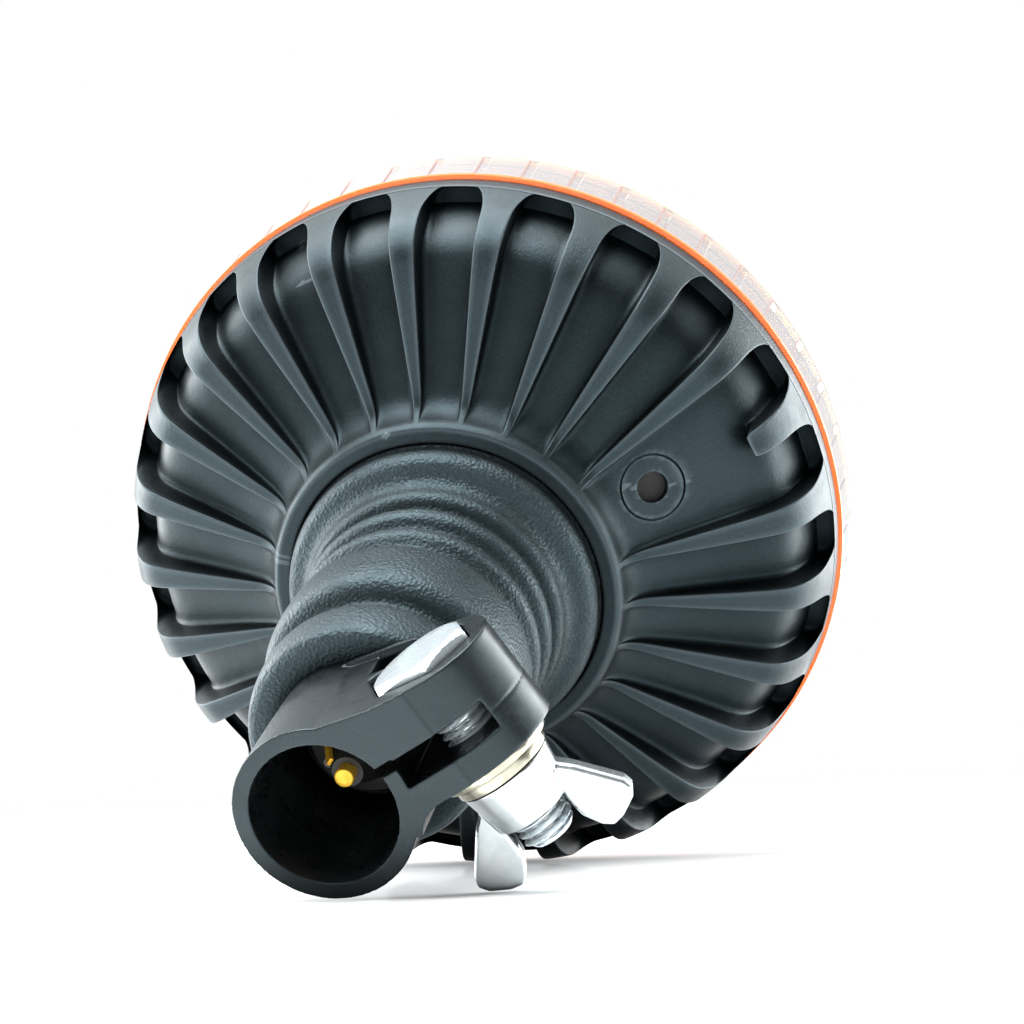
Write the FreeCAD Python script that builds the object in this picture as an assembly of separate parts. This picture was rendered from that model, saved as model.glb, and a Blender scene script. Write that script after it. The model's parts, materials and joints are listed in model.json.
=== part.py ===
import FreeCAD, Part
import os
import math

os.makedirs("parts", exist_ok=True)
V = FreeCAD.Vector

# ---------------------------------------------------------------------------
# Frame: origin at the centre of the socket mouth, +Z up the socket axis to the
# dome, +X towards the clamp ears, +Y towards the wing nut. Millimetres.
# ---------------------------------------------------------------------------

# clamp socket
BORE_R = 12.5            # spigot bore, the clamp land
LAND_LEN = 12.0          # length of the clamp land
RELIEF_R = 12.75         # bore above the land
BORE_TOP = 31.0          # underside of the web
SOCKET_R = 15.4          # socket tube, outside
SOCKET_TOP = 36.0
EAR_R = 12.5             # rounded tip of the ears
BOLT_X, BOLT_Z = 24.3, 12.8
EAR_Z0, EAR_Z1 = 0.0, 25.2
EAR_YP = 8.4             # outside of the nut side ear
SLOT_Y0, SLOT_Y1 = -1.65, 3.6
LIP_X = 32.6
GROUND_A = -115.0        # azimuth of the ground strip

# clamp hardware (M10)
BOLT_R = 5.0
BOLT_HOLE_R = 5.3
HEX_AF = 17.0
HEX_SEAT_Y = -5.0
HEX_H = 6.3
BOLT_END_Y = 26.6
HEX_TURN = -6.0
WASHER_R, WASHER_T = 10.25, 1.8
SPRING_R, SPRING_T = 8.8, 2.4
NUT_Y = EAR_YP + WASHER_T + SPRING_T

# flexible stem
PIVOT_LOW_Z = 40.0
PIVOT_HIGH_Z = 68.0
SLEEVE_R = 20.6
SLEEVE_Z0, SLEEVE_Z1 = 44.0, 57.0

# base housing
COLLAR_Z = 91.4
COLLAR_R_IN, COLLAR_R_OUT = 32.25, 35.3
SEAT_Z = 97.0
RIM_Z = 127.5
RIM_R = 77.55
FIN_COUNT = 25
FIN_PITCH = 360.0 / FIN_COUNT
FIN_A0 = 9.8             # azimuth of the fin that is cut short
FIN_T37, FIN_T75 = 1.5, 5.3   # fin thickness at r 37 and at r 75
SKIRT_R = 76.95
TROUGH_Z = 124.8
HUB_TOP_Z = 101.5
BOSS_X, BOSS_Y = 45.5, 6.95
BOSS_R, BOSS_HOLE_R = 6.85, 3.15

# lens
FACETS = 50
LENS_R0, LENS_R1 = 78.5, 79.8
LENS_Z1 = 140.5
LENS_TOP = 172.6
LENS_WALL = 2.4

# light engine
PLATE_Z0, PLATE_Z1 = 125.0, 128.0
PLATE_R = 67.2
MODULE = 0.8
GEAR_TEETH, PINION_TEETH = 54, 18
GEAR_Z0, GEAR_Z1 = 131.0, 136.0
CENTRES = MODULE * (GEAR_TEETH + PINION_TEETH) / 2.0
JOURNAL_R = 10.0
RUN_GAP = 0.05
LED_Z = 141.0


# ------------------------------------------------------------------ helpers
def out(name, shape):
    if isinstance(shape, (list, tuple)):
        shape = Part.makeCompound(list(shape))
    if not shape.isValid():
        print("INVALID", name)
    solids = shape.Solids
    print("%-22s solids %d  volume %.1f" % (name, len(solids), sum(s.Volume for s in solids)))
    if len(solids) == 1 and shape.ShapeType != "Solid":
        shape = solids[0]
    shape.exportStep("parts/%s.step" % name)


def cyl(r, z0, z1, x=0.0, y=0.0):
    return Part.makeCylinder(r, z1 - z0, V(x, y, z0), V(0, 0, 1))


def cyl_y(r, y0, y1, x, z):
    return Part.makeCylinder(r, y1 - y0, V(x, y0, z), V(0, 1, 0))


def box(x0, x1, y0, y1, z0, z1):
    return Part.makeBox(x1 - x0, y1 - y0, z1 - z0, V(x0, y0, z0))


def poly_face(pts):
    vs = [V(*p) for p in pts]
    vs.append(vs[0])
    return Part.Face(Part.makePolygon(vs))


def rev(rz, a=360.0, a0=0.0):
    """Solid of revolution about Z of a closed (r, z) polygon."""
    f = poly_face([(max(r, 0.0), 0, z) for r, z in rz])
    if a0:
        f.rotate(V(0, 0, 0), V(0, 0, 1), a0)
    return f.revolve(V(0, 0, 0), V(0, 0, 1), a)


def rev_mixed(parts_list):
    """Revolve a closed outline given as a list of ('l', pts) and ('s', pts)
    pieces; 's' pieces are interpolated smooth curves."""
    edges = []
    for kind, pts in parts_list:
        vs = [V(r, 0, z) for r, z in pts]
        if kind == "s":
            c = Part.BSplineCurve()
            c.interpolate(vs)
            edges.append(c.toShape())
        else:
            for a, b in zip(vs[:-1], vs[1:]):
                if (a - b).Length > 1e-6:
                    edges.append(Part.makeLine(a, b))
    w = Part.Wire(edges)
    return Part.Face(w).revolve(V(0, 0, 0), V(0, 0, 1), 360)


def polar(r, deg, z=0.0):
    t = math.radians(deg)
    return V(r * math.cos(t), r * math.sin(t), z)


def rot(shape, deg):
    s = shape.copy()
    s.rotate(V(0, 0, 0), V(0, 0, 1), deg)
    return s


def prism_xz(pts, y0, y1):
    f = poly_face([(x, y0, z) for x, z in pts])
    return f.extrude(V(0, y1 - y0, 0))


def prism_xy(pts, z0, z1):
    f = poly_face([(x, y, z0) for x, y in pts])
    return f.extrude(V(0, 0, z1 - z0))


def hexagon_y(af, y0, y1, x, z, turn):
    r = af / math.sqrt(3.0)
    pts = []
    for k in range(6):
        t = math.radians(60 * k + turn)
        pts.append((x + r * math.cos(t), z + r * math.sin(t)))
    return prism_xz(pts, y0, y1)


def fillet_some(shape, r, pick):
    es = [e for e in shape.Edges if pick(e)]
    if not es:
        return shape
    try:
        s = shape.makeFillet(r, es)
        if s.isValid() and s.Volume > 0:
            return s
    except Exception:
        pass
    return shape


def pan_screw(x, y, z_seat, r, length, head_r, head_h):
    """Screw pointing down (-Z) with its head on z_seat."""
    s = cyl(r, z_seat - length, z_seat + 0.01, x, y).fuse(cyl(head_r, z_seat, z_seat + head_h, x, y))
    s = s.cut(box(x - head_r * 0.62, x + head_r * 0.62, y - 0.3, y + 0.3, z_seat + head_h * 0.45, z_seat + head_h + 1))
    s = s.cut(box(x - 0.3, x + 0.3, y - head_r * 0.62, y + head_r * 0.62, z_seat + head_h * 0.45, z_seat + head_h + 1))
    return s


# ------------------------------------------------------------- clamp socket
def clamp_socket():
    tube = cyl(SOCKET_R, 0.0, SOCKET_TOP)
    # head side ear: slightly tapering outer face
    neg = prism_xy([(4.0, -14.2), (9.2, -12.7), (17.7, -10.8), (28.9, -9.8), (38.0, -9.1),
                    (38.0, SLOT_Y0), (4.0, SLOT_Y0)], EAR_Z0, EAR_Z1)
    # nut side ear with a concave blend to the tube
    pos_pts = [(4.0, SLOT_Y1), (38.0, SLOT_Y1), (38.0, EAR_YP), (17.6, EAR_YP)]
    cx, cy, r = 17.6, EAR_YP + 7.0, 7.0
    for k in range(1, 7):
        t = math.radians(270 - k * 9.5)
        pos_pts.append((cx + r * math.cos(t), cy + r * math.sin(t)))
    pos_pts += [(10.6, 11.2), (4.0, 14.2)]
    pos = prism_xy(pos_pts, EAR_Z0, EAR_Z1)
    # rounded tips: keep what lies inside the stadium seen along Y
    keep = box(0.0, BOLT_X, -20, 20, EAR_Z0, EAR_Z1).fuse(cyl_y(EAR_R, -20, 20, BOLT_X, BOLT_Z))
    lip_n = box(LIP_X, 38.0, SLOT_Y0 - 0.5, 0.8, EAR_Z0, EAR_Z1)
    lip_p = box(LIP_X, 38.0, 1.2, SLOT_Y1 + 0.5, EAR_Z0, EAR_Z1)
    ears = neg.fuse([pos, lip_n, lip_p]).common(keep)
    # rib above the hex pocket
    ears = ears.fuse(prism_xy([(6.5, -14.0), (9.0, -13.6), (17.2, -11.9), (21.0, -11.0), (21.0, -9.5), (6.5, -11.0)], 23.7, EAR_Z1))
    body = tube.fuse(ears)
    # bore, relief, web
    body = body.cut(cyl(BORE_R, -1.0, LAND_LEN))
    body = body.cut(cyl(RELIEF_R, LAND_LEN, BORE_TOP))
    # fastening holes in the web
    body = body.cut(cyl(4.0, BORE_TOP - 1, SOCKET_TOP + 1))
    for a in (60, 180, 300):
        p = polar(8.2, a)
        body = body.cut(cyl(1.3, BORE_TOP - 1, SOCKET_TOP + 1, p.x, p.y))
    # ground lead passage
    g = polar(9.0, GROUND_A)
    body = body.cut(cyl(1.6, BORE_TOP - 1, SOCKET_TOP + 1, g.x, g.y))
    # open the clamp: narrow slot at the bore, wide slot further out
    zt = EAR_Z1 + 2.0
    body = body.cut(box(11.0, 15.76, -1.9, -0.2, -1.0, zt))
    body = body.cut(box(15.76, LIP_X, SLOT_Y0, SLOT_Y1, -1.0, zt))
    body = body.cut(box(LIP_X - 0.01, 39.0, 0.8, 1.2, -1.0, zt))
    # spot face for the flat washer
    body = body.cut(cyl_y(WASHER_R + 0.45, EAR_YP, 24.0, BOLT_X, BOLT_Z))
    # bolt hole and hex pocket
    body = body.cut(cyl_y(BOLT_HOLE_R, -20, 20, BOLT_X, BOLT_Z))
    pocket = hexagon_y(HEX_AF + 0.5, -20, HEX_SEAT_Y, BOLT_X, BOLT_Z, HEX_TURN)
    body = body.cut(pocket)
    recess = box(13.6, 22.0, -20, -9.2, 17.0, 23.4)
    body = body.cut(recess.cut(cyl(SOCKET_R, -2, 60)))
    # small oval mark left by moulding
    mark = Part.makeCylinder(1.5, 3.0, V(0, 0, 0), V(0, 0, 1))
    mm = FreeCAD.Matrix()
    mm.scale(1.0, 2.4, 1.0)
    mark = mark.transformGeometry(mm)
    mark.rotate(V(0, 0, 0), V(0, 1, 0), -90)
    mark.rotate(V(0, 0, 0), V(1, 0, 0), 90)
    mark.translate(V(-SOCKET_R + 0.25, 0, 0))
    mark.rotate(V(0, 0, 0), V(0, 0, 1), 62)
    mark.translate(V(0, 0, 11.0))
    marked = body.cut(mark)
    if marked.isValid() and len(marked.Solids) == 1:
        body = marked
    # soften the mouth rim
    body = fillet_some(body, 0.5, lambda e: e.BoundBox.ZMax < 0.01 and e.Curve.TypeId == "Part::GeomCircle" and abs(e.Curve.Radius - SOCKET_R) < 0.01)
    body = body.removeSplitter()
    return body


out("clamp_socket", clamp_socket())


def clamp_bolt():
    head = hexagon_y(HEX_AF, HEX_SEAT_Y - HEX_H, HEX_SEAT_Y, BOLT_X, BOLT_Z, HEX_TURN)
    cone = Part.makeCone(HEX_AF / 2 * 0.98, HEX_AF / 2 * 0.98 + 8.0, 8.0, V(BOLT_X, HEX_SEAT_Y - HEX_H, BOLT_Z), V(0, 1, 0))
    head = head.common(cone.fuse(cyl_y(30, HEX_SEAT_Y - HEX_H + 3, HEX_SEAT_Y, BOLT_X, BOLT_Z)))
    shank = cyl_y(BOLT_R, HEX_SEAT_Y - 0.01, BOLT_END_Y, BOLT_X, BOLT_Z)
    shank = shank.cut(cyl_y(20, BOLT_END_Y - 1.0, BOLT_END_Y + 1, BOLT_X, BOLT_Z).cut(
        Part.makeCone(BOLT_R, BOLT_R - 1.4, 1.4, V(BOLT_X, BOLT_END_Y - 1.0, BOLT_Z), V(0, 1, 0))))
    return head.fuse(shank).removeSplitter()


out("clamp_bolt", clamp_bolt())
out("flat_washer", cyl_y(WASHER_R, EAR_YP, EAR_YP + WASHER_T, BOLT_X, BOLT_Z).cut(
    cyl_y(BOLT_R + 0.25, EAR_YP - 1, EAR_YP + WASHER_T + 1, BOLT_X, BOLT_Z)))


def spring_washer():
    y0 = EAR_YP + WASHER_T
    s = cyl_y(SPRING_R, y0, y0 + SPRING_T, BOLT_X, BOLT_Z).cut(cyl_y(BOLT_R + 0.2, y0 - 1, y0 + SPRING_T + 1, BOLT_X, BOLT_Z))
    gap = box(-0.45, 0.45, y0 - 1, y0 + SPRING_T + 1, BOLT_R - 1, SPRING_R + 1)
    gap.translate(V(BOLT_X, 0, BOLT_Z))
    gap.rotate(V(BOLT_X, 0, BOLT_Z), V(0, 1, 0), 35)
    return s.cut(gap)


out("spring_washer", spring_washer())


def wing_nut():
    y0 = NUT_Y
    hub = Part.makeCone(8.4, 6.9, 8.4, V(BOLT_X, y0, BOLT_Z), V(0, 1, 0))
    # one wing outline in the plane of the bolt axis, relative to (BOLT_X, y)
    right = [(2.0, 15.0), (5.6, 14.2), (9.8, 18.3), (13.0, 22.3), (15.3, 25.2), (15.7, 26.9), (14.6, 28.6),
             (11.4, 30.4), (9.3, 30.8), (7.7, 29.6), (5.9, 26.4), (5.55, 23.4), (5.5, 20.9), (2.0, 20.6)]
    wings = []
    for sgn in (1, -1):
        pts = [(BOLT_X + sgn * a, b) for a, b in right]
        w = prism_xy(pts, BOLT_Z - 2.1, BOLT_Z + 2.1)
        w = fillet_some(w, 1.1, lambda e: e.BoundBox.ZLength < 0.01 and e.BoundBox.YMax > 16)
        w.rotate(V(BOLT_X, 0, BOLT_Z), V(0, 1, 0), -10)
        wings.append(w)
    nut = hub.fuse(wings)
    nut = nut.cut(cyl_y(BOLT_R + 0.05, y0 - 1, y0 + 30, BOLT_X, BOLT_Z))
    return nut.removeSplitter()


out("wing_nut", wing_nut())

# --------------------------------------------------------- contacts in socket
holder = rev([(0, 15.0), (2.7, 15.0), (6.4, 24.0), (6.4, 28.0), (10.4, 28.0), (10.4, BORE_TOP - 0.02), (3.95, BORE_TOP - 0.02),
              (3.95, SOCKET_TOP + 2.0), (0, SOCKET_TOP + 2.0)])
holder = holder.cut(cyl(1.78, 14.0, 17.8)).cut(cyl(2.6, 17.8, SOCKET_TOP + 3.0))
for a in (60, 180, 300):
    p = polar(8.2, a)
    holder = holder.cut(cyl(0.95, 24.0, 32.0, p.x, p.y))
holder = holder.cut(rot(box(-1.2, 1.2, -11.5, -6.45, 24.5, 32.0), GROUND_A + 90))
out("contact_holder", holder)

pin = cyl(1.7, 12.6, 17.9).fuse(cyl(2.5, 17.85, 24.5))
pin = fillet_some(pin, 0.25, lambda e: e.BoundBox.ZMax < 12.61)
out("contact_pin", pin)


def coil(r, wire, z0, z1, turns):
    h = Part.makeHelix((z1 - z0) / turns, z1 - z0, r)
    h.translate(V(0, 0, z0))
    c = Part.Wire(Part.makeCircle(wire, V(r, 0, z0), V(0, 1, 0)))
    return Part.Wire(h.Edges).makePipeShell([c], True, True)


out("contact_spring", coil(1.9, 0.28, 24.85, 34.2, 6))
out("contact_terminal", cyl(2.55, 34.55, 38.6).fuse(cyl(1.3, 38.5, 41.0)).cut(cyl(0.95, 39.4, 42.0)))

strip_pts = [(-3.05, 15.1), (-6.75, 24.3), (-8.6, 27.0), (-8.6, 36.0), (-9.3, 36.0), (-9.3, 26.8), (-7.35, 24.1), (-3.65, 14.9)]
strip = Part.Face(Part.makePolygon([V(-0.7, y, z) for y, z in strip_pts] + [V(-0.7, *strip_pts[0])])).extrude(V(1.4, 0, 0))
out("ground_strip", rot(strip, GROUND_A + 90))

hold_screws = []
for a in (60, 180, 300):
    p = polar(8.2, a)
    hold_screws.append(pan_screw(p.x, p.y, SOCKET_TOP, 0.93, 9.5, 1.9, 1.3))
out("holder_screws", hold_screws)

# ---------------------------------------------------------------- stem
# boot outline, outside and inside, from the socket up to the collar
BOOT_OUT = [(19.4, 25.4), (20.6, 26.2), (21.4, 28.2), (21.8, 31.5), (21.7, 35.0), (20.9, 37.4), (20.1, 39.2), (20.3, 40.8),
            (21.8, 42.2), (23.2, 43.6), (24.0, 46.0), (24.3, 50.0), (24.3, 54.5), (23.9, 57.6), (23.0, 59.6), (22.6, 60.8),
            (23.0, 62.2), (23.9, 63.8), (24.2, 65.4), (23.7, 67.3), (22.9, 68.8), (23.0, 70.2), (24.2, 71.6), (24.9, 73.2),
            (24.7, 75.0), (23.9, 76.5), (24.0, 77.6), (25.3, 78.8), (26.1, 80.2), (26.3, 81.8), (26.9, 83.4), (28.2, 84.6),
            (30.2, 85.6), (31.3, 87.0), (31.7, 88.9), (31.7, 91.0), (32.2, 91.9)]
BOOT_IN = [(28.0, 90.9), (28.0, 87.6), (26.6, 86.4), (23.6, 83.6), (22.6, 80.6), (21.0, 77.6), (21.0, 75.6), (21.2, 73.4),
           (20.6, 71.2), (20.0, 69.4), (20.4, 67.0), (20.4, 64.4), (19.8, 62.0), (19.7, 60.4), (20.3, 58.6), (20.65, 57.3),
           (20.65, 43.9), (18.4, 42.6), (17.3, 40.4), (16.8, 38.4), (16.6, 36.6), (15.45, 36.0), (15.45, 25.4)]


def flex_boot():
    outline = [("s", BOOT_OUT), ("l", [BOOT_OUT[-1], (32.2, SEAT_Z - 0.02), (14.2, SEAT_Z - 0.02), (14.2, 94.2), (28.0, 94.2), BOOT_IN[0]]),
               ("l", BOOT_IN), ("l", [BOOT_IN[-1], BOOT_OUT[0]])]
    s = rev_mixed(outline)
    for k in range(4):
        p = polar(21.5, 45 + 90 * k)
        s = s.cut(cyl(1.9, 93.0, 98.0, p.x, p.y))
    return s


out("flex_boot", flex_boot())
sleeve = cyl(SLEEVE_R, SLEEVE_Z0, SLEEVE_Z1).cut(cyl(17.6, SLEEVE_Z0 - 1, SLEEVE_Z1 + 1))
sleeve = sleeve.fuse(cyl(17.7, 49.2, 51.2).cut(cyl(7.0, 49, 52))).removeSplitter()
out("stem_sleeve", sleeve)

insert = rev([(9.0, 86.0), (24.6, 86.0), (27.9, 88.2), (27.9, 94.15), (14.15, 94.15), (14.15, 96.95), (9.0, 96.95)])
for k in range(4):
    p = polar(21.5, 45 + 90 * k)
    insert = insert.cut(cyl(1.45, 87.5, 95.0, p.x, p.y))
out("head_insert", insert)
out("insert_screws", [pan_screw(polar(21.5, 45 + 90 * k).x, polar(21.5, 45 + 90 * k).y, HUB_TOP_Z, 1.4, 12.5, 2.8, 2.0) for k in range(4)])


def lead(points, r=1.05):
    c = Part.BSplineCurve()
    c.interpolate([V(*p) for p in points])
    e = c.toShape()
    w = Part.Wire([e])
    t = e.tangentAt(e.FirstParameter)
    prof = Part.Wire([Part.makeCircle(r, V(*points[0]), t)])
    return w.makePipeShell([prof], True, True)


LEAD_A = [(0, 0, 41.1), (0, 0, 46.0), (0.8, 1.0, 56.0), (2.8, 2.4, 68.0), (2.8, 3.1, 80.0), (2.6, 3.2, 90.0), (2.6, 3.2, 97.0), (2.6, 3.2, 103.5),
          (4.0, 3.4, 107.5), (9.6, 4.4, 109.2), (14.4, 4.9, 109.4), (16.6, 5.0, 111.0), (17.0, 5.0, 112.8), (17.0, 5.0, 114.5)]
LEAD_B = [(-3.8, -8.16, 38.2), (-3.8, -8.16, 40.2), (-3.2, -6.0, 44.5), (-2.4, -3.8, 48.6), (-2.3, -3.2, 54.0), (-2.6, -3.2, 62.0), (-2.6, -3.2, 74.0), (-2.6, -3.2, 90.0),
          (-2.6, -3.2, 97.0), (-2.6, -3.2, 103.5), (-1.0, -3.6, 107.5), (7.0, -4.6, 109.2), (14.2, -4.9, 109.4), (16.6, -5.0, 111.0), (17.0, -5.0, 112.8), (17.0, -5.0, 114.5)]
out("lead_live", lead(LEAD_A))
out("lead_ground", lead(LEAD_B))
lug = box(-1.9, 1.9, -10.4, -7.8, SOCKET_TOP, 37.0).fuse(cyl(1.45, 36.9, 39.9, 0, -9.0)).cut(cyl(1.15, 37.6, 41.0, 0, -9.0))
out("ground_lug", rot(lug, GROUND_A + 90))
grommet = cyl(8.95, 97.4, 101.45).fuse(cyl(11.4, HUB_TOP_Z + 0.02, 103.4)).fuse(cyl(8.95, 101.3, HUB_TOP_Z + 0.1))
grommet = grommet.cut(cyl(1.25, 96, 104, 2.6, 3.2)).cut(cyl(1.25, 96, 104, -2.6, -3.2)).removeSplitter()
out("lead_grommet", grommet)

# ---------------------------------------------------------------- base housing
ENV = [(35.3, COLLAR_Z), (36.0, 92.4), (36.7, 93.8), (37.9, 95.6), (39.6, 96.9), (42.0, 97.8), (46.0, 98.8), (50.0, 99.8), (55.0, 101.1),
       (60.0, 102.4), (65.0, 103.9), (68.3, 105.3), (70.9, 107.6), (72.8, 110.4), (74.2, 113.4), (75.3, 116.6), (76.25, 120.0),
       (77.0, 123.0), (RIM_R, RIM_Z - 0.9)]
FLOOR = [(36.2, 92.8), (37.4, 96.4), (39.6, 98.9), (43.0, 100.9), (48.0, 103.3), (53.0, 105.4), (58.0, 107.5), (62.0, 109.2),
         (65.3, 110.9), (68.0, 113.2), (69.8, 116.0), (71.2, 119.2), (72.4, 122.2), (73.2, TROUGH_Z)]
CAVITY = [(9.0, HUB_TOP_Z), (34.0, HUB_TOP_Z), (38.5, 102.6), (43.0, 104.9), (53.0, 109.2), (60.0, 112.0), (64.0, 114.6), (66.2, 118.0),
          (66.2, PLATE_Z0), (67.6, PLATE_Z0)]


def pocket_wedge(centre_deg, half_fins=1.0):
    """Plan wedge between two fins, drafted, with rounded outer corners."""
    wires = []
    for z, grow in ((78.0, 0.45), (TROUGH_Z + 0.001, -0.75)):
        half = half_fins * FIN_PITCH / 2.0
        r0, r1 = 33.0, SKIRT_R

        def side(r, sgn):
            t = FIN_T37 + (FIN_T75 - FIN_T37) * (r - 37.0) / 38.0
            off = t / 2.0 - grow
            a = half - math.degrees(math.asin(min(0.9, off / r)))
            return polar(r, centre_deg + sgn * a, z)
        rc = 3.0
        a_in, b_in = side(r0, -1), side(r0, 1)
        a1, b1 = side(r1 - rc, -1), side(r1 - rc, 1)
        half1 = half - math.degrees((FIN_T75 / 2.0 - grow + rc) / r1)
        a2, b2 = polar(r1, centre_deg - half1, z), polar(r1, centre_deg + half1, z)
        ca, cb = side(r1 - 1.1, -1), side(r1 - 1.1, 1)
        # pull the corner control point a little inside the sharp corner
        ma = polar(r1 - 1.25, centre_deg - half1 - math.degrees((rc - 1.25) / r1), z)
        mb = polar(r1 - 1.25, centre_deg + half1 + math.degrees((rc - 1.25) / r1), z)
        top = polar(r1, centre_deg, z)
        inner = polar(r0 - 0.5, centre_deg, z)
        w = Part.Wire([Part.makeLine(a_in, a1), Part.Arc(a1, ma, a2).toShape(), Part.Arc(a2, top, b2).toShape(),
                       Part.Arc(b2, mb, b1).toShape(), Part.makeLine(b1, b_in), Part.makeLine(b_in, a_in)])
        wires.append(w)
    return Part.makeLoft(wires, True, True)


def base_housing():
    outline = [("l", [(COLLAR_R_IN, COLLAR_Z), ENV[0]]), ("s", ENV), ("l", [ENV[-1], (RIM_R - 0.5, RIM_Z), (75.0, RIM_Z)]),
               ("l", [(75.0, RIM_Z), (75.0, 130.6), (70.4, 130.6), (70.4, 128.4), (67.6, 128.4), (67.6, PLATE_Z0), (66.2, PLATE_Z0)]),
               ("l", [(66.2, PLATE_Z0), (66.2, 118.0), (64.0, 114.6), (60.0, 112.0), (53.0, 109.2), (43.0, 104.9), (38.5, 102.6),
                      (34.0, HUB_TOP_Z), (9.0, HUB_TOP_Z), (9.0, SEAT_Z), (COLLAR_R_IN, SEAT_Z), (COLLAR_R_IN, COLLAR_Z)])]
    body = rev_mixed(outline)
    # pillars for the chassis screws and feet of the cavity
    for k in range(4):
        p = polar(59.0, 45 + 90 * k)
        body = body.fuse(cyl(4.2, 108.5, PLATE_Z0, p.x, p.y).common(rev([(0, HUB_TOP_Z + 0.5), (34, HUB_TOP_Z + 0.5), (60, 109.5), (67, 117), (67, 126), (0, 126)])))
    # the space between the fins lies outside the bowl
    wall = [("s", FLOOR), ("l", [FLOOR[-1], (84.0, TROUGH_Z), (84.0, 80.0), (36.2, 80.0), FLOOR[0]])]
    region = rev_mixed(wall)
    cutters = []
    for k in range(FIN_COUNT):
        a = FIN_A0 + FIN_PITCH * (k + 0.5)
        if k in (0, FIN_COUNT - 1):
            continue
        cutters.append(pocket_wedge(a).common(region))
    wide = pocket_wedge(FIN_A0, 2.0).common(region)
    # the short fin left standing at the outer end of the wide pocket
    stub = []
    for z, grow in ((78.0, 0.45), (TROUGH_Z + 0.2, -0.75)):
        pts = []
        for r, sgn in ((66.8, -1), (80.0, -1), (80.0, 1), (66.8, 1)):
            t = FIN_T37 + (FIN_T75 - FIN_T37) * (r - 37.0) / 38.0
            pts.append(polar(r, FIN_A0 - 0.6 + sgn * math.degrees((t / 2.0 - grow) / r), z))
        pts.append(pts[0])
        stub.append(Part.makePolygon(pts))
    wide = wide.cut(Part.makeLoft(stub, True, True))
    cutters.append(wide)
    body = body.cut(cutters)
    # flush boss ring and breather hole in the wide pocket
    n = V(0, 0, -1)
    axis_dir = V(BOSS_X, BOSS_Y, 0)
    axis_dir.normalize()
    tilt = V(axis_dir.x * 0.47, axis_dir.y * 0.47, -1)
    tilt.normalize()
    foot = V(BOSS_X, BOSS_Y, 102.36)
    ring = Part.makeCylinder(BOSS_R, 3.0, foot - tilt * 0.45, tilt).cut(Part.makeCylinder(BOSS_R - 0.45, 6.0, foot - tilt * 2.0, tilt))
    body = body.cut(ring)
    body = body.cut(Part.makeCylinder(BOSS_HOLE_R, 14.0, foot - tilt * 9.0, tilt))
    # screw clearance through the hub, screw holes in the pillars
    for k in range(4):
        p = polar(21.5, 45 + 90 * k)
        body = body.cut(cyl(1.7, SEAT_Z - 1, HUB_TOP_Z + 1, p.x, p.y))
        q = polar(59.0, 45 + 90 * k)
        body = body.cut(cyl(1.25, 114.5, PLATE_Z0 + 1, q.x, q.y))
    return body


BASE = base_housing()
out("base_housing", BASE)


# ---------------------------------------------------------------- vent disc
def vent_disc():
    axis_dir = V(BOSS_X, BOSS_Y, 0)
    axis_dir.normalize()
    tilt = V(axis_dir.x * 0.47, axis_dir.y * 0.47, -1)
    tilt.normalize()
    foot = V(BOSS_X, BOSS_Y, 102.36)
    return Part.makeCylinder(BOSS_HOLE_R - 0.02, 1.2, foot - tilt * 3.2, tilt)


out("vent_disc", vent_disc())

# ---------------------------------------------------------------- lens
gasket_pts = []
out("lens_gasket", rev([(75.02, 128.9), (75.6, 128.6), (76.08, 128.9), (76.08, 129.9), (75.6, 130.2), (75.02, 129.9)]))


def lens():
    outer = [(LENS_R1, LENS_Z1), (79.75, 141.4), (79.5, 142.3), (79.0, 143.3), (78.4, 145.6), (77.2, 150.2), (75.5, 156.0), (73.2, 162.0), (70.4, 166.4),
             (66.2, 169.3), (60.0, 170.9), (45.0, 172.0), (25.0, 172.5), (0.0, LENS_TOP)]
    inner = [(0.0, LENS_TOP - LENS_WALL), (25.0, 170.1), (45.0, 169.6), (59.6, 168.5), (65.0, 167.1), (68.5, 164.6), (71.0, 160.8),
             (73.1, 155.4), (74.8, 149.6), (76.1, 145.0), (76.4, 142.0), (76.2, 131.8), (76.1, RIM_Z + 0.02)]
    outline = [("l", [(76.1, RIM_Z + 0.02), (LENS_R0 - 0.3, RIM_Z + 0.02), (LENS_R0, RIM_Z + 0.35), (LENS_R0, 128.7), (LENS_R0 + 0.15, 128.9), (LENS_R1, LENS_Z1)]),
               ("s", outer), ("l", [outer[-1], inner[0]]), ("s", inner[:-2]), ("l", inner[-3:])]
    body = rev_mixed(outline)
    cutters = []
    for k in range(FACETS):
        a0 = FIN_A0 + 1.35 + k * 360.0 / FACETS
        f = [(LENS_R0 - 0.30, 129.0), (LENS_R0 + 3, 129.0), (LENS_R1 + 3, LENS_Z1 + 0.6), (LENS_R1 - 0.42, LENS_Z1 + 0.6)]
        cutters.append(rev(f, 1.5, a0))
    return body.cut(cutters)


out("lens", lens())

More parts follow.
